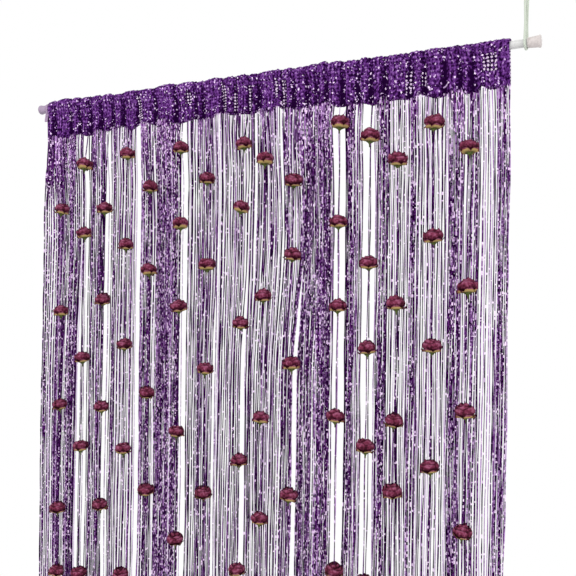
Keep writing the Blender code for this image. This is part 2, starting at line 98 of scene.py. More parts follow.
# How far the heading's left end leans outward at the hem, how far along the heading that reaches, and the
# shares of it at the foot of the pocket and at the rod
END_FLARE = 0.0125
END_FLARE_REACH = 0.05
LOW_LEAN = 0.85
ROD_LEAN = 0.22

# Each fold of the heading: where its left valley is along the rod (metres), how far its crest stands
# forward and how high the cloth rises over the rod's axis (millimetres)
Fold = namedtuple("Fold", "start forward top")
FOLDS = tuple(Fold(*row) for row in (
    (-0.456, 5, 13), (-0.438, 6, 15), (-0.401, 5, 14), (-0.377, 7, 12), (-0.349, 6, 12), (-0.323, 4, 12),
    (-0.294, 6, 9), (-0.269, 5, 12), (-0.233, 7, 11), (-0.193, 8, 14), (-0.146, 7, 13), (-0.102, 3, 11),
    (-0.087, 7, 13), (-0.045, 5, 12), (-0.020, 6, 12), (0.008, 4, 11), (0.026, 8, 12), (0.074, 4, 12),
    (0.093, 5, 11), (0.119, 4, 13), (0.137, 3, 15), (0.153, 6, 12), (0.182, 6, 10), (0.209, 5, 11),
    (0.230, 5, 10), (0.253, 8, 9), (0.294, 5, 10), (0.317, 7, 10), (0.348, 5, 9), (0.371, 4, 9),
    (0.390, 5, 9),
))

# The hem's steps and lobes: places along the rod (metres) and how far below its axis the hem hangs there
# (millimetres)
HEM = (
    (-0.456, 55), (-0.440, 58), (-0.424, 58), (-0.415, 63), (-0.404, 60), (-0.397, 52), (-0.388, 57),
    (-0.377, 56), (-0.361, 62), (-0.346, 60), (-0.337, 52), (-0.316, 56), (-0.305, 57), (-0.297, 51),
    (-0.286, 54), (-0.271, 51), (-0.262, 54), (-0.250, 62), (-0.240, 55), (-0.231, 48), (-0.214, 49),
    (-0.203, 53), (-0.195, 56), (-0.187, 46), (-0.175, 46), (-0.163, 53), (-0.142, 59), (-0.124, 57),
    (-0.106, 52), (-0.093, 56), (-0.080, 52), (-0.067, 57), (-0.059, 49), (-0.043, 48), (-0.030, 53),
    (-0.002, 54), (0.018, 55), (0.027, 48), (0.038, 53), (0.052, 57), (0.063, 47), (0.070, 52),
    (0.087, 53), (0.103, 59), (0.125, 52), (0.138, 55), (0.150, 50), (0.160, 53), (0.172, 60),
    (0.215, 58), (0.238, 64), (0.244, 57), (0.249, 51), (0.258, 60), (0.285, 60), (0.300, 61),
    (0.310, 54), (0.322, 59), (0.335, 64), (0.345, 62), (0.354, 57), (0.366, 57), (0.372, 52),
    (0.379, 62), (0.398, 61), (0.403, 52), (0.416, 60), (0.432, 58), (0.4437, 55),
)

# Where the knit is stretched so far that light shows through it: the middle along the rod (metres), half
# the width, and the upper and lower ends, as heights over the rod's axis (millimetres)
Stretch = namedtuple("Stretch", "place half_width high low")
STRETCHES = tuple(Stretch(*row) for row in (
    (-0.228, 5.5, 2, -50), (-0.118, 6.5, -2, -32), (-0.042, 4.0, 2, -50), (-0.020, 4.0, -14, -53),
    (0.009, 4.5, -6, -50), (0.062, 3.5, 0, -37), (0.075, 4.5, -4, -52), (0.293, 6.5, -18, -55),
    (0.316, 3.5, -16, -48), (0.416, 12.0, -6, -38),
))

# The heading's finer shape and its painted shade: notches and creases at its valleys, painted shade beside
# them, small gathers between them, which stand square to the cloth near the rod, and bumps along its top and
# its hem
HEADING_COLUMNS = 720
HEADING_ROWS_PER_SPAN = 6
TOP_NOTCH = 0.45
CREASE_HALF_WIDTH = 0.0042
CREASE_DEPTH = 0.0016
SHADE_HALF_WIDTH = 0.0054
DEEPEST_FOLD = 8.0
GATHER_PITCH = 0.0078
GATHER_HEIGHT = 0.0017
EDGE_BUMP = 0.0009
EDGE_STITCH = 0.0041
TOP_BUMP = 1.6
CLOTH_SHIFT = 0.0022
SQUARE_WITHIN = 0.02
STRETCH_FADE = 0.006
VALLEY_FADE = 0.030
DRAWN_THICKNESS = 0.0007

# The heading's cloth laid flat
FLAT_WIDTH = 1.0
FLAT_HEIGHT = 0.15

# Plain strings, as the solid has them
PLAIN_DEPTH = 0.0055
LAYER_DEPTH = 0.0013
STRING_COUNT = 225
STRING_ENDS_BELOW = -1.9

# How they are drawn, as two thin strings for each of the solid's: the rings of points along a string, which
# lie closer near its root, how the two of a pair stand apart, and how roots lead over to where strings hang
STRAND_RINGS = 104
STRAND_SIDES = 4
RINGS_CROWD = 1.35
TIP_WIDTH = 0.45
TWIST = 14.0
WOBBLE = 0.8
WOBBLE_RATES = (25.0, 60.0)
PLACE_JITTER = 0.10
FRONT_DEPTHS = (-0.0010, 0.0003)
BACK_DEPTHS = (0.0009, 0.0026)
UNEVEN_ENDS = 0.002
ROOT_PULL = 0.94
ROOT_HIDDEN = 0.0015
ROOT_INSET = 0.001
MERGE_SHORTEST = 0.022
MERGE_LONGEST = 0.060
DEPTH_SETTLES = 0.130
DENSE_PITCH = 0.0026
SPARSE_PITCH = 0.0044

# What changes from where strings hang densely to where they hang sparsely: how far apart the two of a pair
# are, their widths as shares of the string's, and how pale they are
PAIR_APART = (0.50, 0.42)
FRONT_WIDTHS = (0.98, 1.15)
BACK_WIDTHS = (1.35, 0.73)
WIDTH_SPREAD = (0.80, 1.20)
FRONT_TONES = (0.42, 0.22)
FRONT_LIT_ABOVE = 0.86
FRONT_LIT_TONE = 0.36
BACK_TONES = (0.30, 0.56)
BACK_TONE_SPREAD = 0.66

# The sewn seam that the strings hang from
SEAM_SIDES = 6
SEAM_COLUMNS = 420
SEAM_HALF_HEIGHT = 0.002
SEAM_HALF_DEPTH = 0.0012
SEAM_SET_BACK = 0.0008
SEAM_STITCH = 0.004
SEAM_PUFF = 0.18
SEAM_TONE = 0.4

# Slow sideways waves that neighbouring strings share, and small ones of each string's own (metres)
Wave = namedtuple("Wave", "length reach")
SHARED_WAVES = (Wave(0.93, 0.0007), Wave(0.41, 0.0004))
OWN_WAVES = (Wave(0.62, 0.0005), Wave(0.19, 0.0003), Wave(0.10, 0.00018))

# Locks of strings from the left: where each ends along the rod (metres), and how thickly the strings hang
# in it at the upper, middle and lower marks, which are LOCK_MARKS below the rod (metres)
LOCKS_LEFT = -0.478
LOCK_MARKS = (0.13, 0.26, 0.52)
GAP_THICKNESS = 1.0
Lock = namedtuple("Lock", "right upper middle lower")
LOCKS = tuple(Lock(*row) for row in (
    (-0.445, 6.5, 4.5, 5.0), (-0.424, 7.5, 6.5, 7.0), (-0.409, 6.5, 5.0, 4.5), (-0.397, 9.0, 9.8, 9.8),
    (-0.385, 6.0, 6.5, 6.5), (-0.374, 5.0, 4.5, 0.5), (-0.368, 6.5, 5.5, 5.0), (-0.359, 0.5, 0.1, 0.5),
    (-0.353, 1.6, 3.0, 3.5), (-0.328, 6.6, 7.2, 8.0), (-0.317, 6.4, 6.0, 5.6), (-0.313, 5.0, 0.5, 0.5),
    (-0.302, 0.9, 0.2, 0.2), (-0.287, 5.8, 6.6, 9.0), (-0.272, 5.2, 5.6, 5.8), (-0.265, 4.0, 4.0, 5.0),
    (-0.253, 5.5, 6.0, 5.5), (-0.248, 6.5, 7.0, 8.0), (-0.238, 4.0, 2.5, 4.0), (-0.229, 0.8, 0.8, 2.0),
    (-0.203, 8.0, 7.0, 7.5), (-0.193, 4.5, 3.0, 4.0), (-0.182, 10.0, 9.5, 9.8), (-0.137, 8.6, 8.6, 8.4),
    (-0.122, 0.5, 0.4, 0.4), (-0.100, 5.0, 4.5, 5.0), (-0.089, 7.0, 6.5, 8.0), (-0.065, 6.0, 5.5, 6.0),
    (-0.059, 5.0, 5.0, 0.5), (-0.007, 4.5, 4.5, 5.5), (0.001, 3.5, 3.5, 0.5), (0.011, 4.5, 4.0, 5.0),
    (0.016, 7.0, 6.0, 8.5), (0.023, 3.0, 2.5, 3.0), (0.062, 6.5, 5.5, 6.0), (0.074, 3.5, 4.0, 4.0),
    (0.093, 7.0, 6.5, 9.5), (0.103, 7.0, 4.0, 0.5), (0.113, 6.5, 7.5, 10.5), (0.127, 11.5, 11.0, 10.5),
    (0.143, 10.0, 9.5, 5.5), (0.161, 11.0, 11.0, 10.5), (0.167, 5.0, 6.0, 5.5), (0.188, 0.6, 0.4, 0.4),
    (0.203, 8.0, 7.5, 8.0), (0.217, 5.5, 5.5, 5.5), (0.239, 0.9, 0.7, 0.7), (0.260, 8.0, 8.0, 8.0),
    (0.291, 4.3, 4.2, 4.2), (0.309, 7.5, 7.5, 7.5), (0.354, 4.3, 4.3, 4.3), (0.376, 7.8, 7.8, 7.8),
    (0.386, 4.5, 4.5, 4.5), (0.400, 7.3, 7.3, 7.3), (0.425, 3.4, 3.3, 3.3), (0.4437, 7.5, 7.5, 7.5),
))

# Strings bunched under the heading's left end, where they are crimped and look thicker
BUNCH_RIGHT = -0.424
BUNCH_LOW = 0.20
BUNCH_EDGE = 0.006
BUNCH_FADE_ACROSS = 0.02
BUNCH_FADE_DOWN = 0.07
BUNCH_WIDENING = 0.6
BUNCH_MERGE = 0.11
BUNCH_TONE = 0.07
BUNCH_SPARKLE = 0.55
ROOTS_SPREAD_TO = -0.436
CRIMP_REACH = 0.0009
CRIMP_LENGTH = 0.030

# A rose's petals from the outside in: how many, and the outline that each follows from its base, over its
# belly, to its rim and its rolled lip, as (radius, height over the rose's middle), in millimetres
PetalLayer = namedtuple("PetalLayer", "petals base belly rim lip half_angle turn ripe")
PETAL_LAYERS = (
    PetalLayer(5, (2.8, -9.2), (9.2, -8.2), (13.0, -5.4), (15.2, -2.8), 42, 0, 0.00),
    PetalLayer(4, (3.0, -6.8), (12.6, -4.6), (14.6, 1.2), (12.8, 6.4), 60, 36, 0.50),
    PetalLayer(3, (2.6, -3.0), (10.4, 0.4), (11.8, 5.8), (8.8, 9.6), 74, 12, 0.60),
    PetalLayer(3, (1.8, 0.5), (6.4, 4.2), (6.8, 8.8), (4.6, 11.0), 74, 50, 0.66),
)
PETAL_ACROSS = 9
PETAL_ALONG = 7
ROSE_KINDS = 6
SEPALS = 5

# How far outer petals droop at the tip, and how much higher each petal of a layer ends than the one before
# (millimetres)
PETAL_DROOP = 0.4
PETAL_CLIMB = 0.8

# The rest of a rose as outlines of the same kind: the bowl inside the petals, the calyx and the stem
BOWL_OUTLINE = ((2.5, -9.0), (9.0, -6.8), (10.6, -3.4), (8.0, 0.5), (4.0, 3.0))
CALYX_OUTLINE = ((1.0, -14.0), (1.9, -12.4), (3.4, -11.0), (4.8, -9.6), (5.0, -8.8), (3.0, -7.8))
STEM_OUTLINE = ((0.8, -17.5), (0.95, -15.5), (1.05, -12.6))

# The numbers that petals keep for their finish. The first one grows along a petal from its base, and has
# INNER_PETALS added where the base is hidden, so that no yellow shows there
PETAL_NUMBERS = ("along", "beside", "rise")
INNER_PETALS = 1.0

# How a rose string's solid is read: the least drop from one rose to the next, and which of a rose's points,
# from the top down, are its rim, its widest ring and its calyx
ROSE_GAP = 0.015
ROSE_RIM = slice(0, 6)
ROSE_WIDEST = slice(9, 15)
ROSE_CALYX = slice(15, 21)
ROSE_STRING_STEP = 0.016
ROSE_STRING_SWAY = 0.0005
ROSE_STRING_SPARKLE = 0.3

# Hanging cord, as the solid has it: one leg from the fitting down to the loop's lowest point, as X, Y and Z
# in millimetres from (CORD_X, 0, 0); the other leg mirrors it in X and Y
CORD_X = 0.4648
CORD_LEG = (
    (-1.9, -0.6, 68.7), (-1.8, -0.8, 62.0), (-1.5, -1.4, 53.0), (-1.0, -2.4, 43.0), (-0.5, -3.8, 33.0),
    (-0.2, -5.4, 23.0), (-0.2, -7.2, 13.0), (-0.2, -8.2, 5.5), (-0.2, -8.4, 1.0), (-0.2, -7.8, -3.2),
    (-0.1, -5.9, -6.1), (0.0, -3.1, -7.9), (0.0, 0.0, -8.5),
)

# How both cords are drawn: rings of points, laid from plies with grooves between them
CORD_STEP = 0.0008
CORD_SIDES = 12
CORD_LAY_PITCH = 0.0085
CORD_PLIES = 3
CORD_GROOVE = 0.17
CORD_RIDGE_POWER = 0.6

# Tie at the rod's left end: a doubled cord once round the rod, which crosses itself half-way, with two free
# ends whose points are X, Y and Z in millimetres from (TIE_X, TIE_TAIL_DEPTH, 0)
TIE_X = -0.4636
TIE_RADIUS = 0.0080
TIE_SPREAD = 0.00195
TIE_TAIL_DEPTH = -0.0052
TIE_TAIL = ((-1.5, -0.6, -26.5), (-1.2, -0.7, -22.5), (-0.7, -0.6, -18.5), (-0.2, -0.3, -14.5))
TIE_STEPS = 28
TIE_FIRST_ANGLE = math.radians(-128.0)
TIE_WOUND = 2 * 0.96 * math.tau
TIE_CROSSING = 0.12
TIE_CROSSING_LIFT = 0.0012

# Ceiling fitting and caps, as outlines of (radius, distance along the axis) that start and end on the axis
SHARP_ANGLE = math.radians(38)
FITTING_BASE_Z = 0.069
FITTING_OUTLINE = (
    (0.0, 0.0), (0.0052, 0.0), (0.0061, 0.0004), (0.0065, 0.0013), (0.0065, 0.0062), (0.0070, 0.0074),
    (0.0085, 0.0084), (0.0150, 0.0090), (0.0157, 0.0094), (0.0160, 0.0101), (0.0160, 0.0114),
    (0.0157, 0.0119), (0.0152, 0.0120), (0.0, 0.0120),
)
CAP_LENGTH = 0.018
CAP_OUTER = 0.009
CAP_INNER = 0.0073
CAP_BORE = 0.0063
CAP_OUTLINE = (
    (0.0, 0.0), (CAP_OUTER - 0.0024, 0.0), (CAP_OUTER - 0.0020, -0.0003), (CAP_OUTER - 0.0012, -0.0001),
    (CAP_OUTER - 0.0004, -0.0003), (CAP_OUTER, -0.0009), (CAP_OUTER, -0.0022), (CAP_OUTER - 0.0002, -0.0027),
    (CAP_OUTER - 0.0005, -0.0030), (CAP_OUTER - 0.0009, -0.0062), (CAP_INNER + 0.0002, -0.0150),
    (CAP_INNER + 0.0002, -0.0157), (CAP_INNER, -0.0160), (CAP_INNER, -0.0176),
    (CAP_INNER - 0.0002, -CAP_LENGTH), (CAP_BORE, -CAP_LENGTH), (CAP_BORE - 0.0001, -0.0168), (0.0, -0.0168),
)

# The stage: a round floor a little below the curtain, and lamps with their share of the key lamp's power
FLOOR_RADIUS = 2.4
FLOOR_SIDES = 96
FLOOR_BELOW = 0.03
Lamp = namedtuple("Lamp", "name place aim share")
LAMPS = (
    Lamp("key lamp", (-0.7, -2.6, 1.3), (0.0, 0.0, -0.5), 1.0),
    Lamp("fill lamp", (2.2, -1.8, 0.2), (0.0, 0.0, -0.6), 0.45),
    Lamp("back lamp", (0.4, 2.4, 1.2), (0.0, 0.0, -0.6), 0.5),
)
LAMP_SIZE = 1.6


# Settings

def colour_setting(name, description, default):
    return FloatVectorProperty(name=name, description=description, default=default, subtype="COLOR",
                               min=0.0, max=1.0)


def length_setting(name, description, default, smallest, largest):
    return FloatProperty(name=name, description=description, default=default, unit="LENGTH", precision=4,
                         min=smallest, max=largest)


def angle_setting(name, description, degrees):
    return FloatProperty(name=name, description=description, default=math.radians(degrees), subtype="ANGLE")


class StageSettings(bpy.types.PropertyGroup):
    """Where the curtain is seen from, and how it is lit."""

    camera_place: FloatVectorProperty(
        name="Camera place", description="Where the camera stands",
        default=(0.69042, -1.10509, -0.35496), subtype="TRANSLATION", unit="LENGTH")
    camera_turn: angle_setting("Camera turn", "How far the camera turns left from looking along +Y", 28.644)
    camera_rise: angle_setting("Camera rise", "How far the camera looks up", 0.1605)
    camera_roll: angle_setting("Camera roll", "How far the camera leans to its left", 0.8668)
    focal_length: FloatProperty(
        name="Focal length", description="Focal length on a 36 mm sensor, in millimetres",
        default=47.612, min=10.0, max=300.0)
    room_light: FloatProperty(
        name="Room light", description="Strength of the soft light from all round",
        default=1.0, min=0.0, max=5.0)
    key_power: FloatProperty(
        name="Key power", description="Power of the soft lamp in front",
        default=26.0, min=0.0, unit="POWER")
    floor_colour: colour_setting("Floor colour", "Colour of the floor", (0.86, 0.86, 0.87))


class YarnSettings(bpy.types.PropertyGroup):
    """The yarn of the strings and of the knitted heading."""

    string_width: length_setting("String width", "Width of one string across its flat side",
                                 0.00206, 0.0005, 0.004)
    string_depth: length_setting("String depth", "Thickness of one string across its narrow side",
                                 0.0014, 0.0004, 0.004)
    colour: colour_setting("Yarn", "Colour of the yarn in the light", (0.122, 0.029, 0.205))
    string_colour: colour_setting("Strings", "Colour of the yarn where it hangs in single strings",
                                  (0.106, 0.018, 0.158))
    deep_colour: colour_setting("Yarn shade", "Colour of the yarn where it is packed and dark",
                                (0.014, 0.0014, 0.028))
    pale_colour: colour_setting("Pale yarn", "Colour of the yarn where its glitter thread lies on top",
                                (0.330, 0.150, 0.450))
    # The glints are the glitter thread's flecks, painted bright as highlights
    glint_colour: colour_setting("Glints", "Colour of the glitter thread's brightest spots",
                                 (0.950, 0.740, 1.000))
    lit_colour: colour_setting("Lit strings", "Colour of the strings whose glitter side faces the light",
                               (0.470, 0.252, 0.582))
    glint_share: FloatProperty(
        name="Glint share", description="How much of the yarn glints",
        default=0.16, min=0.0, max=1.0, subtype="FACTOR")
    wale_pitch: length_setting("Stitch pitch", "Distance between the heading's holes across the cloth",
                               0.0066, 0.002, 0.02)
    course_pitch: length_setting("Course pitch", "Distance between the heading's holes up the cloth",
                                 0.0056, 0.002, 0.02)


class RoseSettings(bpy.types.PropertyGroup):
    """The small roses that are threaded on some of the strings."""

    petal_colour: colour_setting("Petals", "Colour of the petals", (0.165, 0.024, 0.058))
    petal_shade: colour_setting("Petal shade", "Colour of the petals' folds and edges",
                                (0.036, 0.0028, 0.010))
    # The colour of the highlight painted on each petal's upper part, towards its rim
    petal_highlight_colour: colour_setting("Petal rims", "Colour of the petals' rims", (0.315, 0.092, 0.170))
    base_colour: colour_setting("Petal bases", "Colour of the petals' undersides at their base",
                                (0.440, 0.325, 0.118))
    blush_colour: colour_setting("Blush", "Colour between the petals' bases and the rest of them",
                                 (0.520, 0.230, 0.120))
    leaf_colour: colour_setting("Leaves", "Colour of the small leaves and the stem under a rose",
                                (0.110, 0.145, 0.034))
    crinkle: length_setting("Crinkle", "How far the petals' rims wave in and out", 0.0006, 0.0, 0.004)


class FittingSettings(bpy.types.PropertyGroup):
    """The rod, its caps, its cords and the ceiling fitting."""

    rod_colour: colour_setting("Rod", "Colour of the rod's coating", (0.620, 0.620, 0.610))
    cap_colour: colour_setting("Right cap", "Colour of the right end cap and the ceiling fitting",
                               (0.600, 0.545, 0.530))
    # The left cap is the same plastic as the right one, painted darker and lilac as painted shade
    left_cap_colour: colour_setting("Left cap", "Colour of the left end cap", (0.350, 0.268, 0.378))
    cord_colour: colour_setting("Hanging cord", "Colour of the cord that the rod hangs from",
                                (0.640, 0.700, 0.600))
    tie_colour: colour_setting("Tie", "Colour of the tie at the rod's left end", (0.440, 0.315, 0.470))
    cord_diameter: length_setting("Cord diameter", "Thickness of the hanging cord and the tie",
                                  0.0036, 0.001, 0.008)
    lathe_sides: IntProperty(
        name="Turned sides", description="How many sides the turned pieces have",
        default=56, min=12, max=128)


# Materials

def arithmetic(operation, reflected=False):
    """The method of an operator on wires: it adds a Math node, with the wire second if it is reflected."""
    def method(self, other):
        return self.finish.sum(operation, *((other, self) if reflected else (self, other)))
    return method


class Wire:
    """An output socket of a material's nodes, which can stand in a sum with numbers and other wires."""

    def __init__(self, finish, socket):
        self.finish = finish
        self.socket = socket

    __add__ = arithmetic("ADD")
    __radd__ = arithmetic("ADD", reflected=True)
    __sub__ = arithmetic("SUBTRACT")
    __rsub__ = arithmetic("SUBTRACT", reflected=True)
    __mul__ = arithmetic("MULTIPLY")
    __rmul__ = arithmetic("MULTIPLY", reflected=True)
    __truediv__ = arithmetic("DIVIDE")
    __rtruediv__ = arithmetic("DIVIDE", reflected=True)


class Finish:
    """A material under construction, with one method that adds any node."""

    def __init__(self, name):
        self.material = bpy.data.materials.new(name)
        self.material.use_nodes = True
        self.nodes = self.material.node_tree.nodes
        self.links = self.material.node_tree.links
        self.shader = self.nodes["Principled BSDF"]

    @staticmethod
    def pick(sockets, key):
        """The socket with that index, identifier or name."""
        if isinstance(key, int):
            return sockets[key]
        for socket in sockets:
            if socket.identifier == key:
                return socket
        return sockets[key]

    def fill(self, socket, value):
        """Gives a socket its value, or its link."""
        if isinstance(value, Wire):
            self.links.new(value.socket, socket)
        elif socket.type == "RGBA":
            socket.default_value = (*value, 1.0)
        else:
            socket.default_value = value

    def add(self, kind, settings, inputs, output=0):
        """A new node with its settings set first, then its inputs; the wire is from the named output."""
        node = self.nodes.new(kind)
        for name, value in settings.items():
            setattr(node, name, value)
        for key, value in inputs.items():
            self.fill(self.pick(node.inputs, key), value)
        return Wire(self, self.pick(node.outputs, output))

    def sum(self, operation, *values):
        return self.add("ShaderNodeMath", {"operation": operation}, dict(enumerate(values)))

    def scaled(self, wire, factors):
        return self.add("ShaderNodeVectorMath", {"operation": "MULTIPLY"}, {0: wire, 1: factors})

    def channel(self, wire, index):
        return self.add("ShaderNodeSeparateXYZ", {}, {0: wire}, index)

    def mix(self, factor, first, second):
        return self.add("ShaderNodeMix", {"data_type": "RGBA"},
                        {"Factor_Float": factor, "A_Color": first, "B_Color": second}, "Result_Color")

    def step(self, wire, low, high):
        """0 below low and 1 above high, with a smooth rise between them."""
        return self.add("ShaderNodeMapRange", {"interpolation_type": "SMOOTHSTEP"},
                        {"Value": wire, "From Min": low, "From Max": high, "To Min": 0.0, "To Max": 1.0})

    def noise(self, vector, scale, detail=2.0, roughness=0.5):
        return self.add("ShaderNodeTexNoise", {},
                        {"Vector": vector, "Scale": scale, "Detail": detail, "Roughness": roughness})

    def cells(self, vector, unevenness=1.0):
        """Three random draws for each cell of a grid of cells, one unit wide."""
        return self.add("ShaderNodeTexVoronoi", {"feature": "F1"},
                        {"Vector": vector, "Scale": 1.0, "Randomness": unevenness}, "Color")

    def bump(self, height, strength, distance):
        return self.add("ShaderNodeBump", {},
                        {"Strength": strength, "Distance": distance, "Height": height}, "Normal")

    def place(self):
        """Where a point of the surface is, in metres."""
        return self.add("ShaderNodeTexCoord", {}, {}, "Object")

    def kept(self, name):
        """A number that the mesh keeps for each of its points."""
        return self.add("ShaderNodeAttribute", {"attribute_name": name}, {}, "Fac")

    def coat(self, **sockets):
        """Sets or links the shader's sockets, whose names have _ for a space here."""
        for name, value in sockets.items():
            self.fill(self.shader.inputs[name.replace("_", " ")], value)
        return self.material


def shaded(colour, share):
    """A colour at that share of its brightness."""
    return tuple(share * channel for channel in colour)


def string_yarn(yarn):
    """Glitter yarn in long strings: dark or pale by the string, with short glints painted along it as
    highlights.
    """
    finish = Finish("string yarn")
    tone = finish.kept("tone")
    along = finish.channel(finish.place(), 2)
    # Each string has its own column of 270 flecks and 28 patches a metre, because no two tones are the same
    thread = finish.add("ShaderNodeCombineXYZ", {}, {0: tone * 977.0, 2: along})
    sparkle = finish.kept("sparkle")
    flecks = finish.cells(finish.scaled(thread, (1.0, 1.0, 270.0)))
    draw = finish.channel(flecks, 0)
    second = (finish.channel(flecks, 1) - 0.5) * (0.30 + sparkle * 0.70)
    third = finish.channel(flecks, 2)
    patches = finish.noise(finish.scaled(thread, (1.0, 1.0, 28.0)), 1.0) - 0.5
    lit = finish.step(tone + patches * 0.5 + second * 1.5, -0.02, 0.50)
    body = finish.mix(lit, yarn.deep_colour, yarn.string_colour)
    pale = finish.step(tone + patches * 0.3 + second * 0.9, 0.46, 0.90)
    body = finish.mix(pale, body, yarn.lit_colour)
    # Painted glints: the brightest flecks take the glint colour as highlights
    edge = 1.0 - yarn.glint_share * (0.36 + sparkle * 0.80)
    glint = finish.step(draw + tone * 0.06, edge, edge + 0.03)
    shine = finish.mix(finish.step(third, -0.2, 0.5), yarn.lit_colour, yarn.glint_colour)
    colour = finish.mix(glint, body, shine)
    grain = finish.noise(finish.place(), 900.0)
    return finish.coat(
        Base_Color=colour,
        Roughness=0.60 - glint * 0.30,
        Metallic=glint * 0.3,
        Specular_IOR_Level=0.0,
        Normal=finish.bump(grain + draw * 0.6, 0.7, 0.0006),
    )


def knit_yarn(yarn):
    """The heading's open knit: a grid of knots with small holes between them, and glints painted on the knots
    as highlights.
    """
    finish = Finish("knitted heading")
    cloth = finish.add("ShaderNodeUVMap", {"uv_map": "cloth"}, {}, "UV")
    # crease holds painted shade: dark in the folds' valleys and in the gathers' hollows
    crease = finish.kept("crease")
    stretch = finish.kept("stretch")
    height = finish.channel(cloth, 1)
    # Holes: one to a stitch, open only where the knit is stretched, and all over the back
    warp = finish.noise(cloth, 55.0) - 0.5
    across = finish.channel(cloth, 0) / yarn.wale_pitch + warp * 0.8
    up = height / yarn.course_pitch + warp * 0.8
    behind = finish.step(height, FLAT_HEIGHT * 0.50, FLAT_HEIGHT * 0.54)
    reach = 0.24 + behind * 0.08 + stretch * 0.05
    beside = (finish.sum("FRACT", across) - 0.5) / reach
    above = (finish.sum("FRACT", up) - 0.5) / reach
    ring = beside * beside + above * above
    patches = finish.noise(cloth, 120.0) - 0.5
    closed = finish.step(stretch + patches * 0.7, 0.55, 0.35) * (1.0 - behind)
    hole = finish.step(ring + closed * 2.0, 1.25, 0.75)
    # Yarn: light and dark by the stitch and its weave, with painted shade in the folds' valleys and gathers
    # (crease) and in the recesses round the holes (knot), and darker towards the hem (low) and where the knit
    # is stretched
    knot = finish.step(ring, 0.5, 3.2) - 0.6
    grid = finish.add("ShaderNodeCombineXYZ", {}, {0: across, 1: up})
    stitch = finish.cells(grid, 0.0)
    bright = finish.channel(stitch, 0) - 0.5
    weave = finish.noise(finish.scaled(cloth, (1.0, 0.7, 1.0)), 290.0, 2.0, 0.6) - 0.5
    flecks = finish.cells(finish.scaled(cloth, (430.0, 430.0, 1.0)))
    draw = finish.channel(flecks, 0)
    second = finish.channel(flecks, 1) - 0.5
    third = finish.channel(flecks, 2)
    low = finish.step(height, FLAT_HEIGHT * 0.26, 0.0) * 0.14
    shown = 0.54 + weave * 2.8 + patches * 0.6 + second * 0.45 + bright * 0.30 + knot * 0.30
    shown = shown - crease * 1.20 - low - stretch * (1.0 - behind) * 0.62
    lit = finish.step(shown, 0.0, 0.62)
    body = finish.mix(lit, yarn.deep_colour, yarn.colour)
    shoulder = finish.step(height, FLAT_HEIGHT * 0.38, FLAT_HEIGHT * 0.42) * (1.0 - behind)
    # Pale patches painted on the shoulder over the rod, as if the lit rod glowed through the knit: a painted
    # highlight
    painted_shoulder_glow = finish.step(finish.noise(cloth, 42.0), 0.58, 0.68) * shoulder
    pale = finish.step(shown + painted_shoulder_glow * 0.30, 0.60, 1.14)
    body = finish.mix(pale, body, yarn.pale_colour)
    # Painted glints: the few brightest of 430 flecks a metre, each way, painted in the glint colour as
    # highlights
    edge = 1.0 - yarn.glint_share * 0.52
    glint = finish.step(draw + knot * 0.02 - crease * 0.03, edge, edge + 0.02)
    shine = finish.mix(third, yarn.pale_colour, yarn.glint_colour)
    colour = finish.mix(glint, body, shine)
    # Painted light: the holes take the glint colour, as if bright light showed through them, and are only
    # partly see-through
    colour = finish.mix(hole, colour, yarn.glint_colour)
    grain = finish.noise(cloth, 700.0)
    return finish.coat(
        Base_Color=colour,
        Roughness=0.60 - glint * 0.30,
        Metallic=glint * 0.3,
        Specular_IOR_Level=0.0,
        Alpha=1.0 - hole * 0.45,
        Normal=finish.bump(knot * 0.9 + weave + grain * 0.4 + draw * 0.3, 0.8, 0.0009),
    )


def petal_cloth(rose):
    """Matt petals: maroon with bumpy veins, painted shade and painted highlights, turning yellow-orange
    towards their base.
    """
    finish = Finish("rose petals")
    place = finish.place()
    along = finish.kept("along")
    beside = finish.kept("beside")
    rise = finish.kept("rise")
    mottle = finish.noise(place, 420.0)
    veins = finish.noise(finish.scaled(place, (900.0, 900.0, 200.0)), 1.0)
    blotch = finish.noise(place, 240.0) - 0.5
    edge = beside * beside
    # Painted shade: dark at the foot of each petal, where the one below overlaps it, and down its sides,
    # between petals
    shade = finish.step(rise + (mottle - 0.5) * 0.5 + blotch * 1.1 - edge * 0.42, 0.24, 0.70)
    petal = finish.mix(shade, rose.petal_shade, rose.petal_colour)
    # Painted highlight on the upper part of each petal
    light = finish.step(rise + blotch * 1.9 - edge * 0.6, 0.58, 1.00)
    petal = finish.mix(light * 0.85, petal, rose.petal_highlight_colour)
    # Painted shade: a dark line along the rims, where petals overlap
    rim = finish.step(rise + (mottle - 0.5) * 0.2 + edge * 0.12, 0.88, 0.98)
    petal = finish.mix(rim * 0.85, petal, rose.petal_shade)
    base = finish.step(along + (mottle - 0.5) * 0.40 - edge * edge * 0.10, 0.62, 0.74)
    # Painted shade at the very base of the outer petals, under the rose
    painted_base_shade = shaded(rose.base_colour, 0.30)
    lower = finish.mix(finish.step(along, 0.15, 0.50), painted_base_shade, rose.base_colour)
    blush = finish.step(along + blotch * 0.3, 0.44, 0.70) * 0.42
    lower = finish.mix(blush, lower, rose.blush_colour)
    colour = finish.mix(base, lower, petal)
    return finish.coat(
        Base_Color=colour,
        Roughness=0.72 + mottle * 0.15,
        Normal=finish.bump(veins + mottle, 0.5, 0.0005),
        Specular_IOR_Level=0.1,
    )


def leaf_cloth(rose):
    """The green of the small leaves and the taped stem under each rose."""
    finish = Finish("rose leaves")
    place = finish.place()
    mottle = finish.noise(place, 380.0)
    wraps = finish.sum("SINE", finish.channel(place, 2) * 3600.0)
    dark = shaded(rose.leaf_colour, 0.35)
    colour = finish.mix(finish.step(mottle, 0.30, 0.70), dark, rose.leaf_colour)
    return finish.coat(
        Base_Color=colour,
        Roughness=0.62 + mottle * 0.2,
        Normal=finish.bump(mottle + wraps * 0.2, 0.4, 0.0004),
        Specular_IOR_Level=0.15,
    )


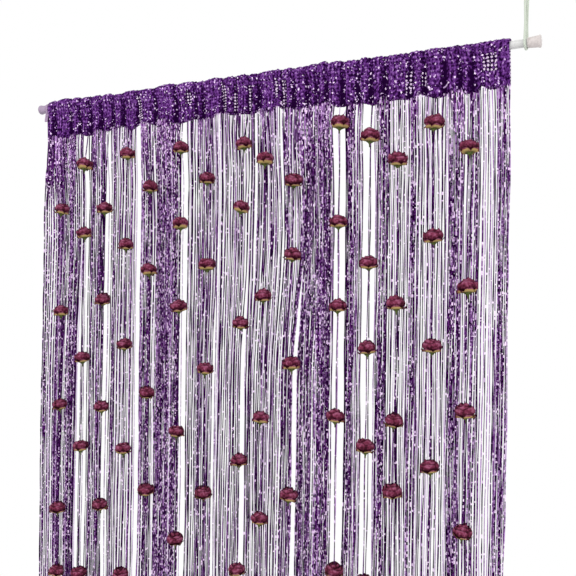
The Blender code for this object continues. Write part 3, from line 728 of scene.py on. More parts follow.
def twisted_cord(name, colour):
    """Soft cord: pale fibres, with painted shade in the grooves between its plies."""
    finish = Finish(name)
    place = finish.place()
    groove = finish.kept("groove")
    fibres = finish.noise(finish.scaled(place, (1.0, 1.0, 0.4)), 2600.0)
    soiled = finish.noise(place, 160.0)
    dark = shaded(colour, 0.42)
    # Painted shade in the grooves between the plies
    shade = finish.step(groove + fibres * 0.35, 0.15, 1.0)
    tone = finish.mix(shade, dark, colour)
    grey = shaded(colour, 0.72)
    tone = finish.mix(finish.step(soiled, 0.45, 0.80) * 0.6, tone, grey)
    return finish.coat(
        Base_Color=tone,
        Roughness=0.85 - fibres * 0.1,
        Normal=finish.bump(fibres + groove, 0.5, CORD_LAY_PITCH / 20),
    )


def rod_coating(fitting):
    """White satin coating with faint mottling and fine scratches along the rod."""
    finish = Finish("rod coating")
    place = finish.place()
    mottle = finish.noise(place, 90.0)
    scratches = finish.noise(finish.scaled(place, (40.0, 1800.0, 1800.0)), 1.0)
    dull = shaded(fitting.rod_colour, 0.86)
    colour = finish.mix(finish.step(mottle, 0.35, 0.75), fitting.rod_colour, dull)
    return finish.coat(
        Base_Color=colour,
        Roughness=0.30 + mottle * 0.16,
        Normal=finish.bump(scratches, 0.12, 0.0003),
        Coat_Weight=0.2,
    )


def cap_plastic(name, colour):
    """Moulded plastic, faintly clouded."""
    finish = Finish(name)
    place = finish.place()
    mottle = finish.noise(place, 240.0)
    cloud = finish.noise(place, 60.0)
    clouded = finish.step(mottle * 0.5 + cloud * 0.5, 0.40, 0.66)
    return finish.coat(
        Base_Color=finish.mix(clouded, colour, shaded(colour, 0.74)),
        Roughness=0.38 + mottle * 0.2,
        Normal=finish.bump(mottle, 0.15, 0.0004),
    )


def floor_finish(stage):
    """A pale floor with faint clouds."""
    finish = Finish("pale floor")
    cloud = finish.noise(finish.place(), 3.0)
    pale = stage.floor_colour
    return finish.coat(Base_Color=finish.mix(cloud, pale, shaded(pale, 0.96)), Roughness=0.9)


# Shapes

def new_piece(name, points, faces, finishes, slots=None, smooth=True):
    """A mesh object with the given finishes; slots says which finish each face has."""
    data = bpy.data.meshes.new(name)
    data.from_pydata([tuple(point) for point in points], [], faces)
    for finish in finishes:
        data.materials.append(finish)
    if slots is not None:
        data.polygons.foreach_set("material_index", slots)
    if smooth:
        data.shade_smooth()
    data.update()
    piece = bpy.data.objects.new(name, data)
    bpy.context.scene.collection.objects.link(piece)
    return piece


def keep_numbers(piece, **numbers):
    """Keeps numbers for each point of a piece's mesh, by name, for its finish to read."""
    for name, values in numbers.items():
        attribute = piece.data.attributes.new(name, "FLOAT", "POINT")
        attribute.data.foreach_set("value", np.asarray(values, dtype=np.float32))


def keep_cloth_places(piece, places):
    """Keeps where each corner of each face was on the flat cloth."""
    layer = piece.data.uv_layers.new(name="cloth")
    corners = np.zeros(len(piece.data.loops), dtype=np.int32)
    piece.data.loops.foreach_get("vertex_index", corners)
    layer.data.foreach_set("uv", np.asarray(places, dtype=np.float32)[corners].ravel())


def grid_faces(rows, columns, first=0, closed=False):
    """Quads between rows of points; closed joins each row's last point to its first."""
    faces = []
    spans = columns if closed else columns - 1
    for row in range(rows - 1):
        for column in range(spans):
            after = (column + 1) % columns
            low = first + row * columns
            high = low + columns
            faces.append((low + column, low + after, high + after, high + column))
    return faces


def tube_faces(rings, sides, first=0):
    """A closed tube: quads between its rings of points, and a face at either end."""
    last = first + (rings - 1) * sides
    return grid_faces(rings, sides, first, closed=True) + [tuple(reversed(range(first, first + sides))),
                                                           tuple(range(last, last + sides))]


def polar(radius, angle, height):
    """A grid of points about the Z axis, from numbers, rows or columns."""
    radius, angle, height = np.broadcast_arrays(radius, angle, height)
    return np.stack((radius * np.cos(angle), radius * np.sin(angle), height), axis=2)


def eased(share):
    """A rise from 0 to 1 that starts and ends gently."""
    share = np.clip(share, 0.0, 1.0)
    return share * share * (3.0 - 2.0 * share)


def between(ends, share):
    """The number at that share of the way from one end to the other."""
    return ends[0] + (ends[1] - ends[0]) * share


def smooth_route(points, substeps):
    """Points on a Catmull-Rom curve through the given ones, with substeps of them to a span."""
    points = np.asarray(points, dtype=float)
    before = np.concatenate((points[:1], points[:-2]))
    start = points[:-1]
    end = points[1:]
    after = np.concatenate((points[2:], points[-1:]))
    t = (np.arange(substeps) / substeps).reshape(1, -1, *([1] * (points.ndim - 1)))
    before, start, end, after = (row[:, None] for row in (before, start, end, after))
    spans = 0.5 * (2 * start + (end - before) * t + (2 * before - 5 * start + 4 * end - after) * t ** 2
                   + (3 * start - before - 3 * end + after) * t ** 3)
    return np.concatenate((spans.reshape(-1, *points.shape[1:]), points[-1:]))


def distances(route):
    """How far along a route each of its points is."""
    return np.concatenate(([0.0], np.cumsum(np.linalg.norm(np.diff(route, axis=0), axis=1))))


def even_route(route, step):
    """The route again, with its points evenly spaced."""
    along = distances(route)
    marks = np.linspace(0.0, along[-1], round(along[-1] / step) + 1)
    return np.stack([np.interp(marks, along, route[:, axis]) for axis in range(3)], axis=1)


def rope(name, route, diameter, finish):
    """A cord laid from plies along a route: the plies are ridges that wind round its surface."""
    route = even_route(route, CORD_STEP)
    count = len(route)
    tangents = np.gradient(route, axis=0)
    tangents /= np.linalg.norm(tangents, axis=1)[:, None]
    normal = Vector(tangents[0]).orthogonal().normalized()
    points = []
    depth = []
    for index in range(count):
        tangent = Vector(tangents[index])
        normal = (normal - tangent * normal.dot(tangent)).normalized()
        side = tangent.cross(normal)
        wind = math.tau * index * CORD_STEP / CORD_LAY_PITCH
        for corner in range(CORD_SIDES):
            angle = math.tau * corner / CORD_SIDES
            ridge = abs(math.cos((angle - wind) * CORD_PLIES / 2))
            radius = diameter / 2 * (1.0 - CORD_GROOVE + CORD_GROOVE * ridge ** CORD_RIDGE_POWER)
            offset = normal * (radius * math.cos(angle)) + side * (radius * math.sin(angle))
            points.append(Vector(route[index]) + offset)
            depth.append(ridge)
    piece = new_piece(name, points, tube_faces(count, CORD_SIDES), [finish])
    # groove is high on the plies' ridges and low in the grooves, where the cord's finish paints shade
    keep_numbers(piece, groove=depth)
    return piece, route


def turned(name, outline, axis, origin, finish, sides):
    """A closed shape turned about an axis. Its outline starts and ends on the axis."""
    direction = Vector(axis)
    across = direction.orthogonal().normalized()
    axes = np.array((across, direction.cross(across), direction))
    radius, along = np.array(outline).T[..., None]
    rings = len(outline) - 2
    points = polar(radius[1:-1], math.tau * np.arange(sides) / sides, along[1:-1]).reshape(-1, 3)
    first = len(points)
    points = np.concatenate((points, polar(0.0, 0.0, along[[0, -1]])[:, 0])) @ axes + origin
    faces = grid_faces(rings, sides, closed=True)
    last_ring = (rings - 1) * sides
    for side in range(sides):
        after = (side + 1) % sides
        faces.append((first, after, side))
        faces.append((first + 1, last_ring + side, last_ring + after))
    piece = new_piece(name, points, faces, [finish])
    piece.data.set_sharp_from_angle(angle=SHARP_ANGLE)
    return piece


def node_points(name):
    """The points of a solid, each once."""
    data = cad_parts[name].data
    points = np.zeros(len(data.vertices) * 3)
    data.vertices.foreach_get("co", points)
    return np.unique(points.reshape(-1, 3).round(6), axis=0)


# Heading

def fold_shape(x):
    """At places along the rod: how far back the hem waves, how far it hangs down, how high the cloth's top
    is, how far the fold stands forward, and how near a valley is, from 0 to 1."""
    starts, forward, crest = np.array((*FOLDS, (HEADING_RIGHT, 0, 0))).T
    index = np.clip(np.searchsorted(starts, x, side="right") - 1, 0, len(FOLDS) - 1)
    share = (x - starts[index]) / (starts[index + 1] - starts[index])
    rise = np.sin(math.pi * np.clip(share, 0.0, 1.0))
    nearest = np.minimum(x - starts[index], starts[index + 1] - x)
    crease = np.exp(-(nearest / CREASE_HALF_WIDTH) ** 2)
    bulge = forward[index] * rise * MM
    wave = VALLEY_BACK * MM - bulge
    hang = np.interp(x, *np.array(HEM).T) * MM
    top = (VALLEY_TOP + (crest[index] - VALLEY_TOP) * (1.0 - TOP_NOTCH * (1.0 - rise))) * MM
    return wave, hang, top, bulge, crease


def valley_shade(x):
    """How much shade is painted on the heading between its folds, from 0 to 1, more so beside the deeper
    ones.
    """
    shade = np.zeros_like(x)
    for before, fold in zip(FOLDS, FOLDS[1:]):
        depth = 0.35 + 0.65 * (before.forward + fold.forward) / 2 / DEEPEST_FOLD
        shade = np.maximum(shade, depth * np.exp(-((x - fold.start) / SHADE_HALF_WIDTH) ** 2))
    return shade


def stretched(x, z):
    """How far the knit is stretched open at places along the rod and heights, from 0 to 1."""
    stretch = np.zeros_like(x)
    for patch in STRETCHES:
        beside = np.exp(-(np.abs(x - patch.place) / (patch.half_width * MM)) ** 4)
        above = eased((patch.high * MM - z) / STRETCH_FADE) * eased((z - patch.low * MM) / STRETCH_FADE)
        stretch = np.maximum(stretch, beside * above)
    return stretch


def leaned(x, share_down):
    """Places along the rod moved outward where the heading's left end leans towards the hem."""
    reach = np.maximum(0.0, 1.0 - (x - HEADING_LEFT) / END_FLARE_REACH)
    return x - END_FLARE * reach * share_down


def heading_rows(x):
    """The cloth's outline over the rod at places along it, from the front of the hem to its back."""
    wave, hang, top, bulge, crease = fold_shape(x)
    wave = wave + CREASE_DEPTH * crease * 0.5
    half = CLOTH_THICKNESS / 2
    slanted = 0.7 * half
    lift = top - CLOTH_THICKNESS - ROD_RADIUS - POCKET_CLEARANCE
    front = BULGE_FRONT * bulge
    back = BULGE_BACK * bulge
    out = SHOULDER_OUT + LIFT_OUT * lift + slanted
    shoulder = SHOULDER_HEIGHT + LIFT_UP * lift + slanted
    low = WAVE_LOW * wave
    level = np.zeros_like(x)
    rows = (
        (wave - half, -hang),
        (low - POCKET_LOW_HALF - half, level + POCKET_LOW_Z),
        (-POCKET_SIDE - half - front, level),
        (-out - 0.5 * front, shoulder),
        (level, top - half),
        (out + 0.5 * back, shoulder),
        (POCKET_SIDE + half + back, level),
        (low + POCKET_LOW_HALF + half, level + POCKET_LOW_Z),
        (wave + half, -hang),
    )
    outline = np.array([np.stack(row, axis=1) for row in rows])
    leans = np.array((1.0, LOW_LEAN, *[ROD_LEAN] * 5, LOW_LEAN, 1.0))
    return smooth_route(outline, HEADING_ROWS_PER_SPAN), smooth_route(leans, HEADING_ROWS_PER_SPAN), crease


def flat_places(points, axis, size):
    """Where each column, or row, of a grid of points is on the flat cloth, which has that size."""
    steps = np.linalg.norm(np.diff(points, axis=axis), axis=2).mean(axis=1 - axis)
    places = np.concatenate(([0.0], np.cumsum(steps)))
    return places * (size / places[-1])


def heading_piece(finish):
    """The knitted cloth over the rod: the solid's folds with finer gathers, and its hem in small bumps."""
    rng = np.random.default_rng(SEED)
    x = np.linspace(HEADING_LEFT, HEADING_RIGHT, HEADING_COLUMNS)
    outline, leans, crease = heading_rows(x)
    rows = len(outline)
    down = np.linspace(0.0, 1.0, rows)[:, None]

    phase = 2.2 * np.sin(x * 31.0) + 1.4 * np.sin(x * 77.0 + 1.0)
    gathers = 0.5 + 0.5 * np.sin(math.tau * x / GATHER_PITCH + phase + 1.2 * np.sin(4.0 * down + 19.0 * x))
    finer = 0.5 + 0.5 * np.sin(math.tau * x / (0.45 * GATHER_PITCH) + 3.0 * np.sin(7.0 * down + 41.0 * x))
    lift = GATHER_HEIGHT * (0.7 * gathers + 0.3 * finer) * (1.0 - 0.6 * crease)

    # Gathers stand square to the cloth near the rod, and straight forward or back further down
    slope = np.gradient(outline, axis=0)
    normal = np.stack((-slope[..., 1], slope[..., 0]), axis=2)
    normal /= np.linalg.norm(normal, axis=2, keepdims=True)
    normal = np.where((outline * normal).sum(axis=2, keepdims=True) < 0.0, -normal, normal)
    level = np.stack(np.broadcast_arrays(np.where(down < 0.5, -1.0, 1.0), 0.0), axis=2)
    lifted = outline + np.where(np.abs(outline[..., 1:]) < SQUARE_WITHIN, normal, level) * lift[..., None]

    shift = CLOTH_SHIFT * np.sin(9.0 * down + 23.0 * x) * np.sin(math.pi * down)
    leans = leans[:, None]
    along = np.clip(leaned(x, leans) + shift, HEADING_LEFT - END_FLARE * leans, HEADING_RIGHT)
    points = np.concatenate((along[..., None], lifted), axis=2)

    bumps = EDGE_BUMP * (np.sin(math.tau * x / EDGE_STITCH) + 0.8 * rng.standard_normal(len(x)))
    knots = TOP_BUMP * np.clip(rng.standard_normal(len(x)), 0.0, 2.0)
    points[rows // 2, :, 2] += EDGE_BUMP * np.convolve(knots, (0.25, 0.5, 0.25), mode="same")
    for row, weight in ((0, 1.0), (1, 0.5), (rows - 1, 1.0), (rows - 2, 0.5)):
        points[row, :, 2] += bumps * weight

    across = flat_places(points, 1, FLAT_WIDTH)
    up = flat_places(points, 0, FLAT_HEIGHT)
    piece = new_piece("knitted_heading", points.reshape(-1, 3), grid_faces(rows, len(x)), [finish])
    keep_cloth_places(piece, np.stack(np.meshgrid(across, up), axis=2).reshape(-1, 2))
    # Painted shade, kept as crease for the knit's finish: dark in the folds' valleys, more so towards the
    # hem, and in the hollows between the gathers
    low = 0.45 + 0.55 * eased(-outline[..., 1] / VALLEY_FADE)
    shade = np.maximum(valley_shade(x) * low, 0.26 * (1.0 - gathers) ** 2)
    keep_numbers(piece, crease=shade.ravel(), stretch=stretched(along, outline[..., 1]).ravel())
    return piece


# Strings

def string_places():
    """Where each plain string hangs, in order along the rod: its place, depth and end."""
    points = node_points("strings")
    low = points[points[:, 2] < STRING_ENDS_BELOW]
    spines = low[np.abs(low[:, 1] - PLAIN_DEPTH) < LAYER_DEPTH / 2]
    spines = spines[spines[:, 0].argsort()]
    if len(spines) != STRING_COUNT:
        raise RuntimeError(f"the strings' solid has {len(spines)} ends, and {STRING_COUNT} are expected")
    return spines


def wander(rng, places, heights):
    """How far each string strays sideways at each height: shared slow waves, then waves of its own."""
    stray = np.zeros((len(places), heights.shape[1]))
    for wave in SHARED_WAVES:
        phase = 34.0 * places + 2.0 * np.sin(19.0 * places)
        stray += wave.reach * np.sin(math.tau * heights / wave.length + phase[:, None])
    for wave in OWN_WAVES:
        phase = rng.uniform(0.0, math.tau, (len(places), 1))
        length = wave.length * rng.uniform(0.8, 1.25, (len(places), 1))
        stray += wave.reach * np.sin(math.tau * heights / length + phase)
    return stray


def strand_rings(rng, centres, width, depth):
    """The points round each string at each of its centres: a flat oval that turns slowly on its way. The
    width and the depth are one number for each string."""
    strands, rings, _ = centres.shape
    drop = centres[:, :1, 2] - centres[:, :, 2]
    turn = rng.uniform(0.0, math.tau, (strands, 1)) + drop * rng.uniform(-TWIST, TWIST, (strands, 1))
    turn = turn + WOBBLE * np.sin(drop * rng.uniform(*WOBBLE_RATES, (strands, 1)))
    angle = math.tau * np.arange(STRAND_SIDES) / STRAND_SIDES
    taper = np.ones(rings)
    taper[-1] = TIP_WIDTH
    taper = taper * (1.0 + BUNCH_WIDENING * bunched(centres[..., 0], centres[..., 2]))
    flat = (np.atleast_1d(width) / 2)[:, None, None] * np.cos(angle) * taper[..., None]
    thin = (np.atleast_1d(depth) / 2)[:, None, None] * np.sin(angle) * taper[..., None]
    points = np.repeat(centres[:, :, None, :], STRAND_SIDES, axis=2)
    points[..., 0] += np.cos(turn)[..., None] * flat - np.sin(turn)[..., None] * thin
    points[..., 1] += np.sin(turn)[..., None] * flat + np.cos(turn)[..., None] * thin
    return points


def strand_faces(strands, rings):
    """The faces of strands that follow one another, each a tube of its own."""
    faces = []
    for strand in range(strands):
        faces += tube_faces(rings, STRAND_SIDES, strand * rings * STRAND_SIDES)
    return faces


def lock_places(shares):
    """Where strings hang at each of the lock marks, for shares of all the strings counted from the left.
    Between one gap and the next there are as many strings at each mark."""
    edges = np.array([LOCKS_LEFT] + [lock.right for lock in LOCKS])
    thickness = np.array([lock[1:] for lock in LOCKS])
    counted = np.concatenate((np.zeros((1, len(LOCK_MARKS))),
                              np.cumsum(np.diff(edges)[:, None] * thickness, axis=0)))
    gaps = np.nonzero(thickness[:, 0] < GAP_THICKNESS)[0]
    fixed = np.unique(np.concatenate(([0, len(LOCKS)], gaps, gaps + 1)))
    upper = counted[:, 0]
    return np.array([np.interp(shares * upper[-1], np.interp(mark, mark[fixed], upper[fixed]), edges)
                     for mark in counted.T])


def hanging_places(marks, drops):
    """Each string's places along the rod at its drops below it, easing from one lock mark to the next."""
    places = np.repeat(marks[0][:, None], drops.shape[1], axis=1)
    for index in range(1, len(LOCK_MARKS)):
        high, low = LOCK_MARKS[index - 1:index + 1]
        places += (marks[index] - marks[index - 1])[:, None] * eased((drops - high) / (low - high))
    return places


def paired_strings(rng, ends):
    """The two thin strings that each of the solid's strands stands in for, a front one and a back one:
    where each hangs at the lock marks, its depth and end, and how sparsely strings hang there."""
    count = len(ends)
    middle = (np.arange(count) + 0.5) / count
    pitch = np.gradient(lock_places(middle)[1])
    sparse = eased((pitch - DENSE_PITCH) / (SPARSE_PITCH - DENSE_PITCH))
    apart = between(PAIR_APART, sparse)
    side = rng.choice((-1.0, 1.0), count)
    layers = []
    for sign, depths in ((-1.0, FRONT_DEPTHS), (1.0, BACK_DEPTHS)):
        jitter = rng.uniform(-PLACE_JITTER, PLACE_JITTER, count)
        shares = middle + (side * sign * apart / 2 + jitter) / count
        depth = ends[:, 1] + rng.uniform(*depths, count)
        low = ends[:, 2] + rng.uniform(-UNEVEN_ENDS, UNEVEN_ENDS, count)
        layers.append((lock_places(np.clip(shares, 0.0, 1.0)), depth, low))
    return layers, sparse


def bunched(places, heights):
    """How closely the strings are bunched at places along the rod and heights, from 0 to 1."""
    return eased((BUNCH_RIGHT - places) / BUNCH_EDGE) * eased((BUNCH_LOW + heights) / BUNCH_FADE_DOWN)


def bunch_share(places):
    """How far strings that hang at those places belong to the bunch, from 0 to 1."""
    return eased((BUNCH_RIGHT - places) / BUNCH_FADE_ACROSS)


def root_places(hanging):
    """Where strings leave the hem, for the places where they hang: evenly, but drawn towards those places."""
    count = len(hanging)
    left = float(leaned(np.array(HEADING_LEFT), 1.0))
    even = left + (np.arange(count) + 0.5) * (HEADING_RIGHT - left) / count
    roots = even + (hanging - even) * ROOT_PULL
    spread = np.interp(roots, (LOCKS_LEFT, ROOTS_SPREAD_TO), (left + ROOT_INSET, ROOTS_SPREAD_TO))
    return np.minimum(np.where(roots < ROOTS_SPREAD_TO, spread, roots), HEADING_RIGHT - ROOT_INSET)


def plain_centres(rng, marks, depth, low):
    """The middle line of each plain string, from its root under the hem down to its end."""
    shape = (len(low), 1)
    root_x = root_places(marks[0])
    wave, hang = fold_shape(np.clip(root_x, HEADING_LEFT, HEADING_RIGHT))[:2]
    root_x, wave, depth, root_z, low = (column[:, None] for column in
                                        (root_x, wave, depth, ROOT_HIDDEN - hang, low))
    heights = root_z + np.linspace(0.0, 1.0, STRAND_RINGS) ** RINGS_CROWD * (low - root_z)
    drop = root_z - heights
    merge = rng.uniform(MERGE_SHORTEST, MERGE_LONGEST, shape) + BUNCH_MERGE * bunch_share(marks[0])[:, None]
    settled = eased(drop / merge)
    x = root_x + (hanging_places(marks, -heights) - root_x) * settled
    x += wander(rng, marks[1], heights) * settled
    bend = math.tau * drop / (CRIMP_LENGTH * rng.uniform(0.8, 1.3, shape))
    crimp = CRIMP_REACH * bunched(x, heights) * settled
    x += crimp * np.sin(bend + rng.uniform(0.0, math.tau, shape))
    y = wave + (depth - wave) * eased(drop / DEPTH_SETTLES)
    return np.stack((x, y, heights), axis=2)


def seam_points():
    """The sewn seam under the hem, as a puffed bead that follows it."""
    x = np.linspace(HEADING_LEFT, HEADING_RIGHT, SEAM_COLUMNS)[:, None]
    wave, hang = fold_shape(x)[:2]
    angle = math.tau * np.arange(SEAM_SIDES) / SEAM_SIDES
    puffed = 1.0 + SEAM_PUFF * np.sin(math.tau * x / SEAM_STITCH)
    return np.stack(np.broadcast_arrays(leaned(x, 1.0),
                                        wave + SEAM_SET_BACK + SEAM_HALF_DEPTH * np.cos(angle) * puffed,
                                        -hang + SEAM_HALF_HEIGHT * np.sin(angle) * puffed), axis=2)


def string_piece(name, yarn, finish, rng, layer, widths, tones, sparkles, seam):
    """One layer of the plain strings, with the points of the seam that they hang from, or none."""
    centres = plain_centres(rng, *layer)
    rings = strand_rings(rng, centres, widths, widths * yarn.string_depth / yarn.string_width)
    faces = strand_faces(len(centres), STRAND_RINGS)
    faces += tube_faces(len(seam), SEAM_SIDES, rings.size // 3) if len(seam) else []
    points = np.concatenate((rings.reshape(-1, 3), seam.reshape(-1, 3)))
    piece = new_piece(name, points, faces, [finish])
    each = STRAND_RINGS * STRAND_SIDES
    beads = seam.size // 3
    keep_numbers(piece, tone=np.append(np.repeat(tones, each), [SEAM_TONE] * beads),
                 sparkle=np.append(np.repeat(sparkles, each), [1.0] * beads))
    return piece


# Roses

def rose_places(name):
    """The middle and the axis of each rose on a rose string's solid, from the top down, then the string's
    root and its tip."""
    points = node_points(name)
    points = points[points[:, 2].argsort()[::-1]]
    breaks = np.nonzero(-np.diff(points[:, 2]) > ROSE_GAP)[0] + 1
    groups = np.split(points, breaks)
    roses = []
    for group in groups[1:-1]:
        axis = group[ROSE_RIM].mean(axis=0) - group[ROSE_CALYX].mean(axis=0)
        roses.append((group[ROSE_WIDEST].mean(axis=0), Vector(axis).normalized()))
    return roses, groups[0].mean(axis=0), groups[-1].mean(axis=0)


class RoseShape:
    """Points, faces, finish numbers and petal numbers of one kind of rose, in millimetres."""

    def __init__(self):
        self.points = []
        self.faces = []
        self.slots = []
        self.numbers = {name: [] for name in PETAL_NUMBERS}

    def add_grid(self, slot, points, along=0.0, beside=0.0, rise=0.0, closed=False):
        shape = points.shape[:2]
        faces = grid_faces(*shape, len(self.points), closed)
        self.points += list(points.reshape(-1, 3))
        for name, values in zip(PETAL_NUMBERS, (along, beside, rise)):
            self.numbers[name] += list(np.broadcast_to(values, shape).ravel())
        self.faces += faces
        self.slots += [slot] * len(faces)


def petal_grid(rng, layer, number, crinkle):
    """One petal: a cupped sheet whose rim is waved and rolled outward."""
    route = smooth_route(np.array((layer.base, layer.belly, layer.rim, layer.lip)), substeps=3)
    marks = np.linspace(0.0, 1.0, PETAL_ALONG)
    spots = np.linspace(0.0, 1.0, len(route))
    radius = np.interp(marks, spots, route[:, 0])[:, None]
    height = np.interp(marks, spots, route[:, 1])[:, None]
    beside = np.linspace(-1.0, 1.0, PETAL_ACROSS)[None, :]
    along = np.broadcast_to(marks[:, None], (PETAL_ALONG, PETAL_ACROSS))

    # Degrees round the rose: petals aren't quite even, and each is narrower at its base
    middle = layer.turn + 360.0 * number / layer.petals + rng.uniform(-7.0, 7.0)
    spread = layer.half_angle * (0.72 + 0.28 * np.sin(math.pi * np.clip(marks * 0.9, 0, 1)))[:, None]
    angle = np.radians(middle + beside * spread)

    # Millimetres: the corners fall back, the tip droops, and the whole petal stands higher or lower
    corner = np.abs(beside) ** 2.4
    lift = rng.uniform(-1.3, 1.3)
    spring = rng.uniform(-0.05, 0.07)
    lift += PETAL_CLIMB * (number - (layer.petals - 1) / 2)
    height = height + along ** 2 * (lift - (2.4 + 3.2 * (1.0 - layer.ripe) ** 2) * corner)
    height = height - PETAL_DROOP * (1.0 - 2.0 * layer.ripe) * along ** 3 * (1.0 - np.abs(beside))
    radius = radius * (1.0 - 0.10 * corner + spring * along ** 2) + 0.25 * beside

    # The rim ripples
    ripple = crinkle / MM * along ** 3
    radius = radius + ripple * np.sin(5.0 * beside + rng.uniform(0.0, math.tau))
    height = height + ripple * np.sin(6.5 * beside + rng.uniform(0.0, math.tau))
    inner = INNER_PETALS if layer.ripe else 0.0
    grown = inner + layer.ripe + (1.0 - layer.ripe) * along
    return polar(radius, angle, height), grown, beside, along


def rose_core(rng):
    """The rolled heart of a rose: a strip wound in on itself."""
    turns = np.linspace(0.0, 1.0, 30)[None, :]
    rows = np.linspace(0.0, 1.0, 4)[:, None]
    angle = math.tau * 2.3 * turns + rng.uniform(0.0, math.tau)
    radius = (3.4 - 2.6 * turns) * (0.75 + 0.30 * rows)
    height = 2.0 + rows * (8.0 + 0.8 * turns) + 0.5 * rows * np.sin(4.0 * angle)
    return polar(radius, angle, height), INNER_PETALS + rows, 0.6 * np.cos(3.0 * angle), rows


def turned_grid(outline, sides):
    """A form turned about the rose's axis, from its outline."""
    outline = np.array(outline)
    return polar(outline[:, :1], math.tau * np.arange(sides) / sides, outline[:, 1:])


def sepal_grid(rng, number):
    """One of the small leaves under the petals, which narrows to its tip."""
    marks = np.linspace(0.0, 1.0, 5)[:, None]
    beside = np.linspace(-1.0, 1.0, 3)
    half = 20.0 * (1.0 - marks) ** 0.6 + 1.0
    angle = np.radians(360.0 / SEPALS * number + rng.uniform(-8.0, 8.0) + beside * half)
    radius = 3.8 + (3.8 + rng.uniform(-0.8, 1.0)) * marks
    return polar(radius, angle, -10.8 + 3.0 * marks ** 1.3)


def make_rose(rng, crinkle):
    """One kind of rose, with petals in slot 1 and leaves in slot 2 of its string's finishes."""
    shape = RoseShape()
    for layer in PETAL_LAYERS:
        for number in range(layer.petals):
            shape.add_grid(1, *petal_grid(rng, layer, number, crinkle))
    shape.add_grid(1, *rose_core(rng))
    shape.add_grid(1, turned_grid(BOWL_OUTLINE, sides=14), INNER_PETALS, 0.0, 0.2, closed=True)
    shape.add_grid(2, turned_grid(CALYX_OUTLINE, sides=10), closed=True)
    shape.add_grid(2, turned_grid(STEM_OUTLINE, sides=6), closed=True)
    for number in range(SEPALS):
        shape.add_grid(2, sepal_grid(rng, number))
    return shape


def rose_string_piece(number, kinds, yarn, finishes):
    """One rose string: its yarn from root to tip, and the roses threaded on it."""
    rng = np.random.default_rng(SEED + 100 + number)
    roses, root, tip = rose_places(f"rose_string_{number:02d}")
    root[2] = ROOT_HIDDEN - fold_shape(root[:1])[1][0]
    line = even_route(np.array([root, *(middle for middle, _ in roses), tip]), ROSE_STRING_STEP)
    line = line[line[:, 2].argsort()[::-1]]
    line[:, 0] += ROSE_STRING_SWAY * np.sin((line[0, 2] - line[:, 2]) * 31.0 + number)
    points = list(strand_rings(rng, line[None], yarn.string_width, yarn.string_depth).reshape(-1, 3))
    faces = strand_faces(1, len(line))
    slots = [0] * len(faces)
    numbers = {name: [0.0] * len(points) for name in PETAL_NUMBERS}
    for middle, axis in roses:
        kind = kinds[rng.integers(len(kinds))]
        turn = axis.to_track_quat("Z", "Y").to_matrix() @ Matrix.Rotation(rng.uniform(0.0, math.tau), 3, "Z")
        size = MM * rng.uniform(0.97, 1.05)
        first = len(points)
        points += list(np.array(kind.points) * size @ np.array(turn).T + middle)
        faces += [tuple(first + corner for corner in face) for face in kind.faces]
        slots += kind.slots
        for name in PETAL_NUMBERS:
            numbers[name] += kind.numbers[name]
    piece = new_piece(f"roses_{number:02d}", points, faces, finishes, slots)
    keep_numbers(piece, **numbers, tone=[rng.uniform(0.0, 0.5)] * len(points),
                 sparkle=[ROSE_STRING_SPARKLE] * len(points))
    return piece


# Operators

class CURTAIN_OT_stage(bpy.types.Operator):
    """Set up the floor, the lamps and the camera"""

    bl_idname = "curtain.stage"
    bl_label = "Stage"

    def execute(self, context):
        scene = context.scene
        stage = scene.curtain_stage
        scene.view_settings.view_transform = "Standard"
        scene.world = bpy.data.worlds.new("room light")
        scene.world.use_nodes = True
        background = scene.world.node_tree.nodes["Background"]
        background.inputs["Color"].default_value = (1.0, 1.0, 1.0, 1.0)
        background.inputs["Strength"].default_value = stage.room_light

        angle = math.tau * np.arange(FLOOR_SIDES) / FLOOR_SIDES
        rim = polar(FLOOR_RADIUS, angle[None], CAD_BOX[0][2] - FLOOR_BELOW)[0]
        floor = new_piece("floor", rim, [tuple(range(FLOOR_SIDES))], [floor_finish(stage)], smooth=False)

        for row in LAMPS:
            lamp = bpy.data.lights.new(row.name, "AREA")
            lamp.energy = stage.key_power * row.share
            lamp.size = LAMP_SIZE
            holder = bpy.data.objects.new(row.name, lamp)
            holder.location = row.place
            holder.rotation_euler = (Vector(row.aim) - Vector(row.place)).to_track_quat("-Z", "Y").to_euler()
            scene.collection.objects.link(holder)

        data = bpy.data.cameras.new("camera")
        data.lens = stage.focal_length
        data.sensor_width = 36.0
        data.sensor_fit = "HORIZONTAL"
        data.clip_start = 0.01
        camera = bpy.data.objects.new("camera", data)
        camera.matrix_world = (Matrix.Translation(stage.camera_place)
                               @ Matrix.Rotation(stage.camera_turn, 4, "Z")
                               @ Matrix.Rotation(math.radians(90.0) + stage.camera_rise, 4, "X")
                               @ Matrix.Rotation(stage.camera_roll, 4, "Z"))
        scene.collection.objects.link(camera)
        scene.camera = camera
        return {"FINISHED"}


class CURTAIN_OT_ceiling_fitting(bpy.types.Operator):
    """Make the round fitting that the hanging cord ends in"""

    bl_idname = "curtain.ceiling_fitting"
    bl_label = "Ceiling fitting"

    def execute(self, context):
        fitting = context.scene.curtain_fitting
        finish = cap_plastic("ceiling fitting", fitting.cap_colour)
        piece = turned("ceiling_fitting", FITTING_OUTLINE, (0, 0, 1), (CORD_X, 0.0, FITTING_BASE_Z),
                       finish, fitting.lathe_sides)
        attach(piece, BODY)
        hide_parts("cord_hook")
        return {"FINISHED"}


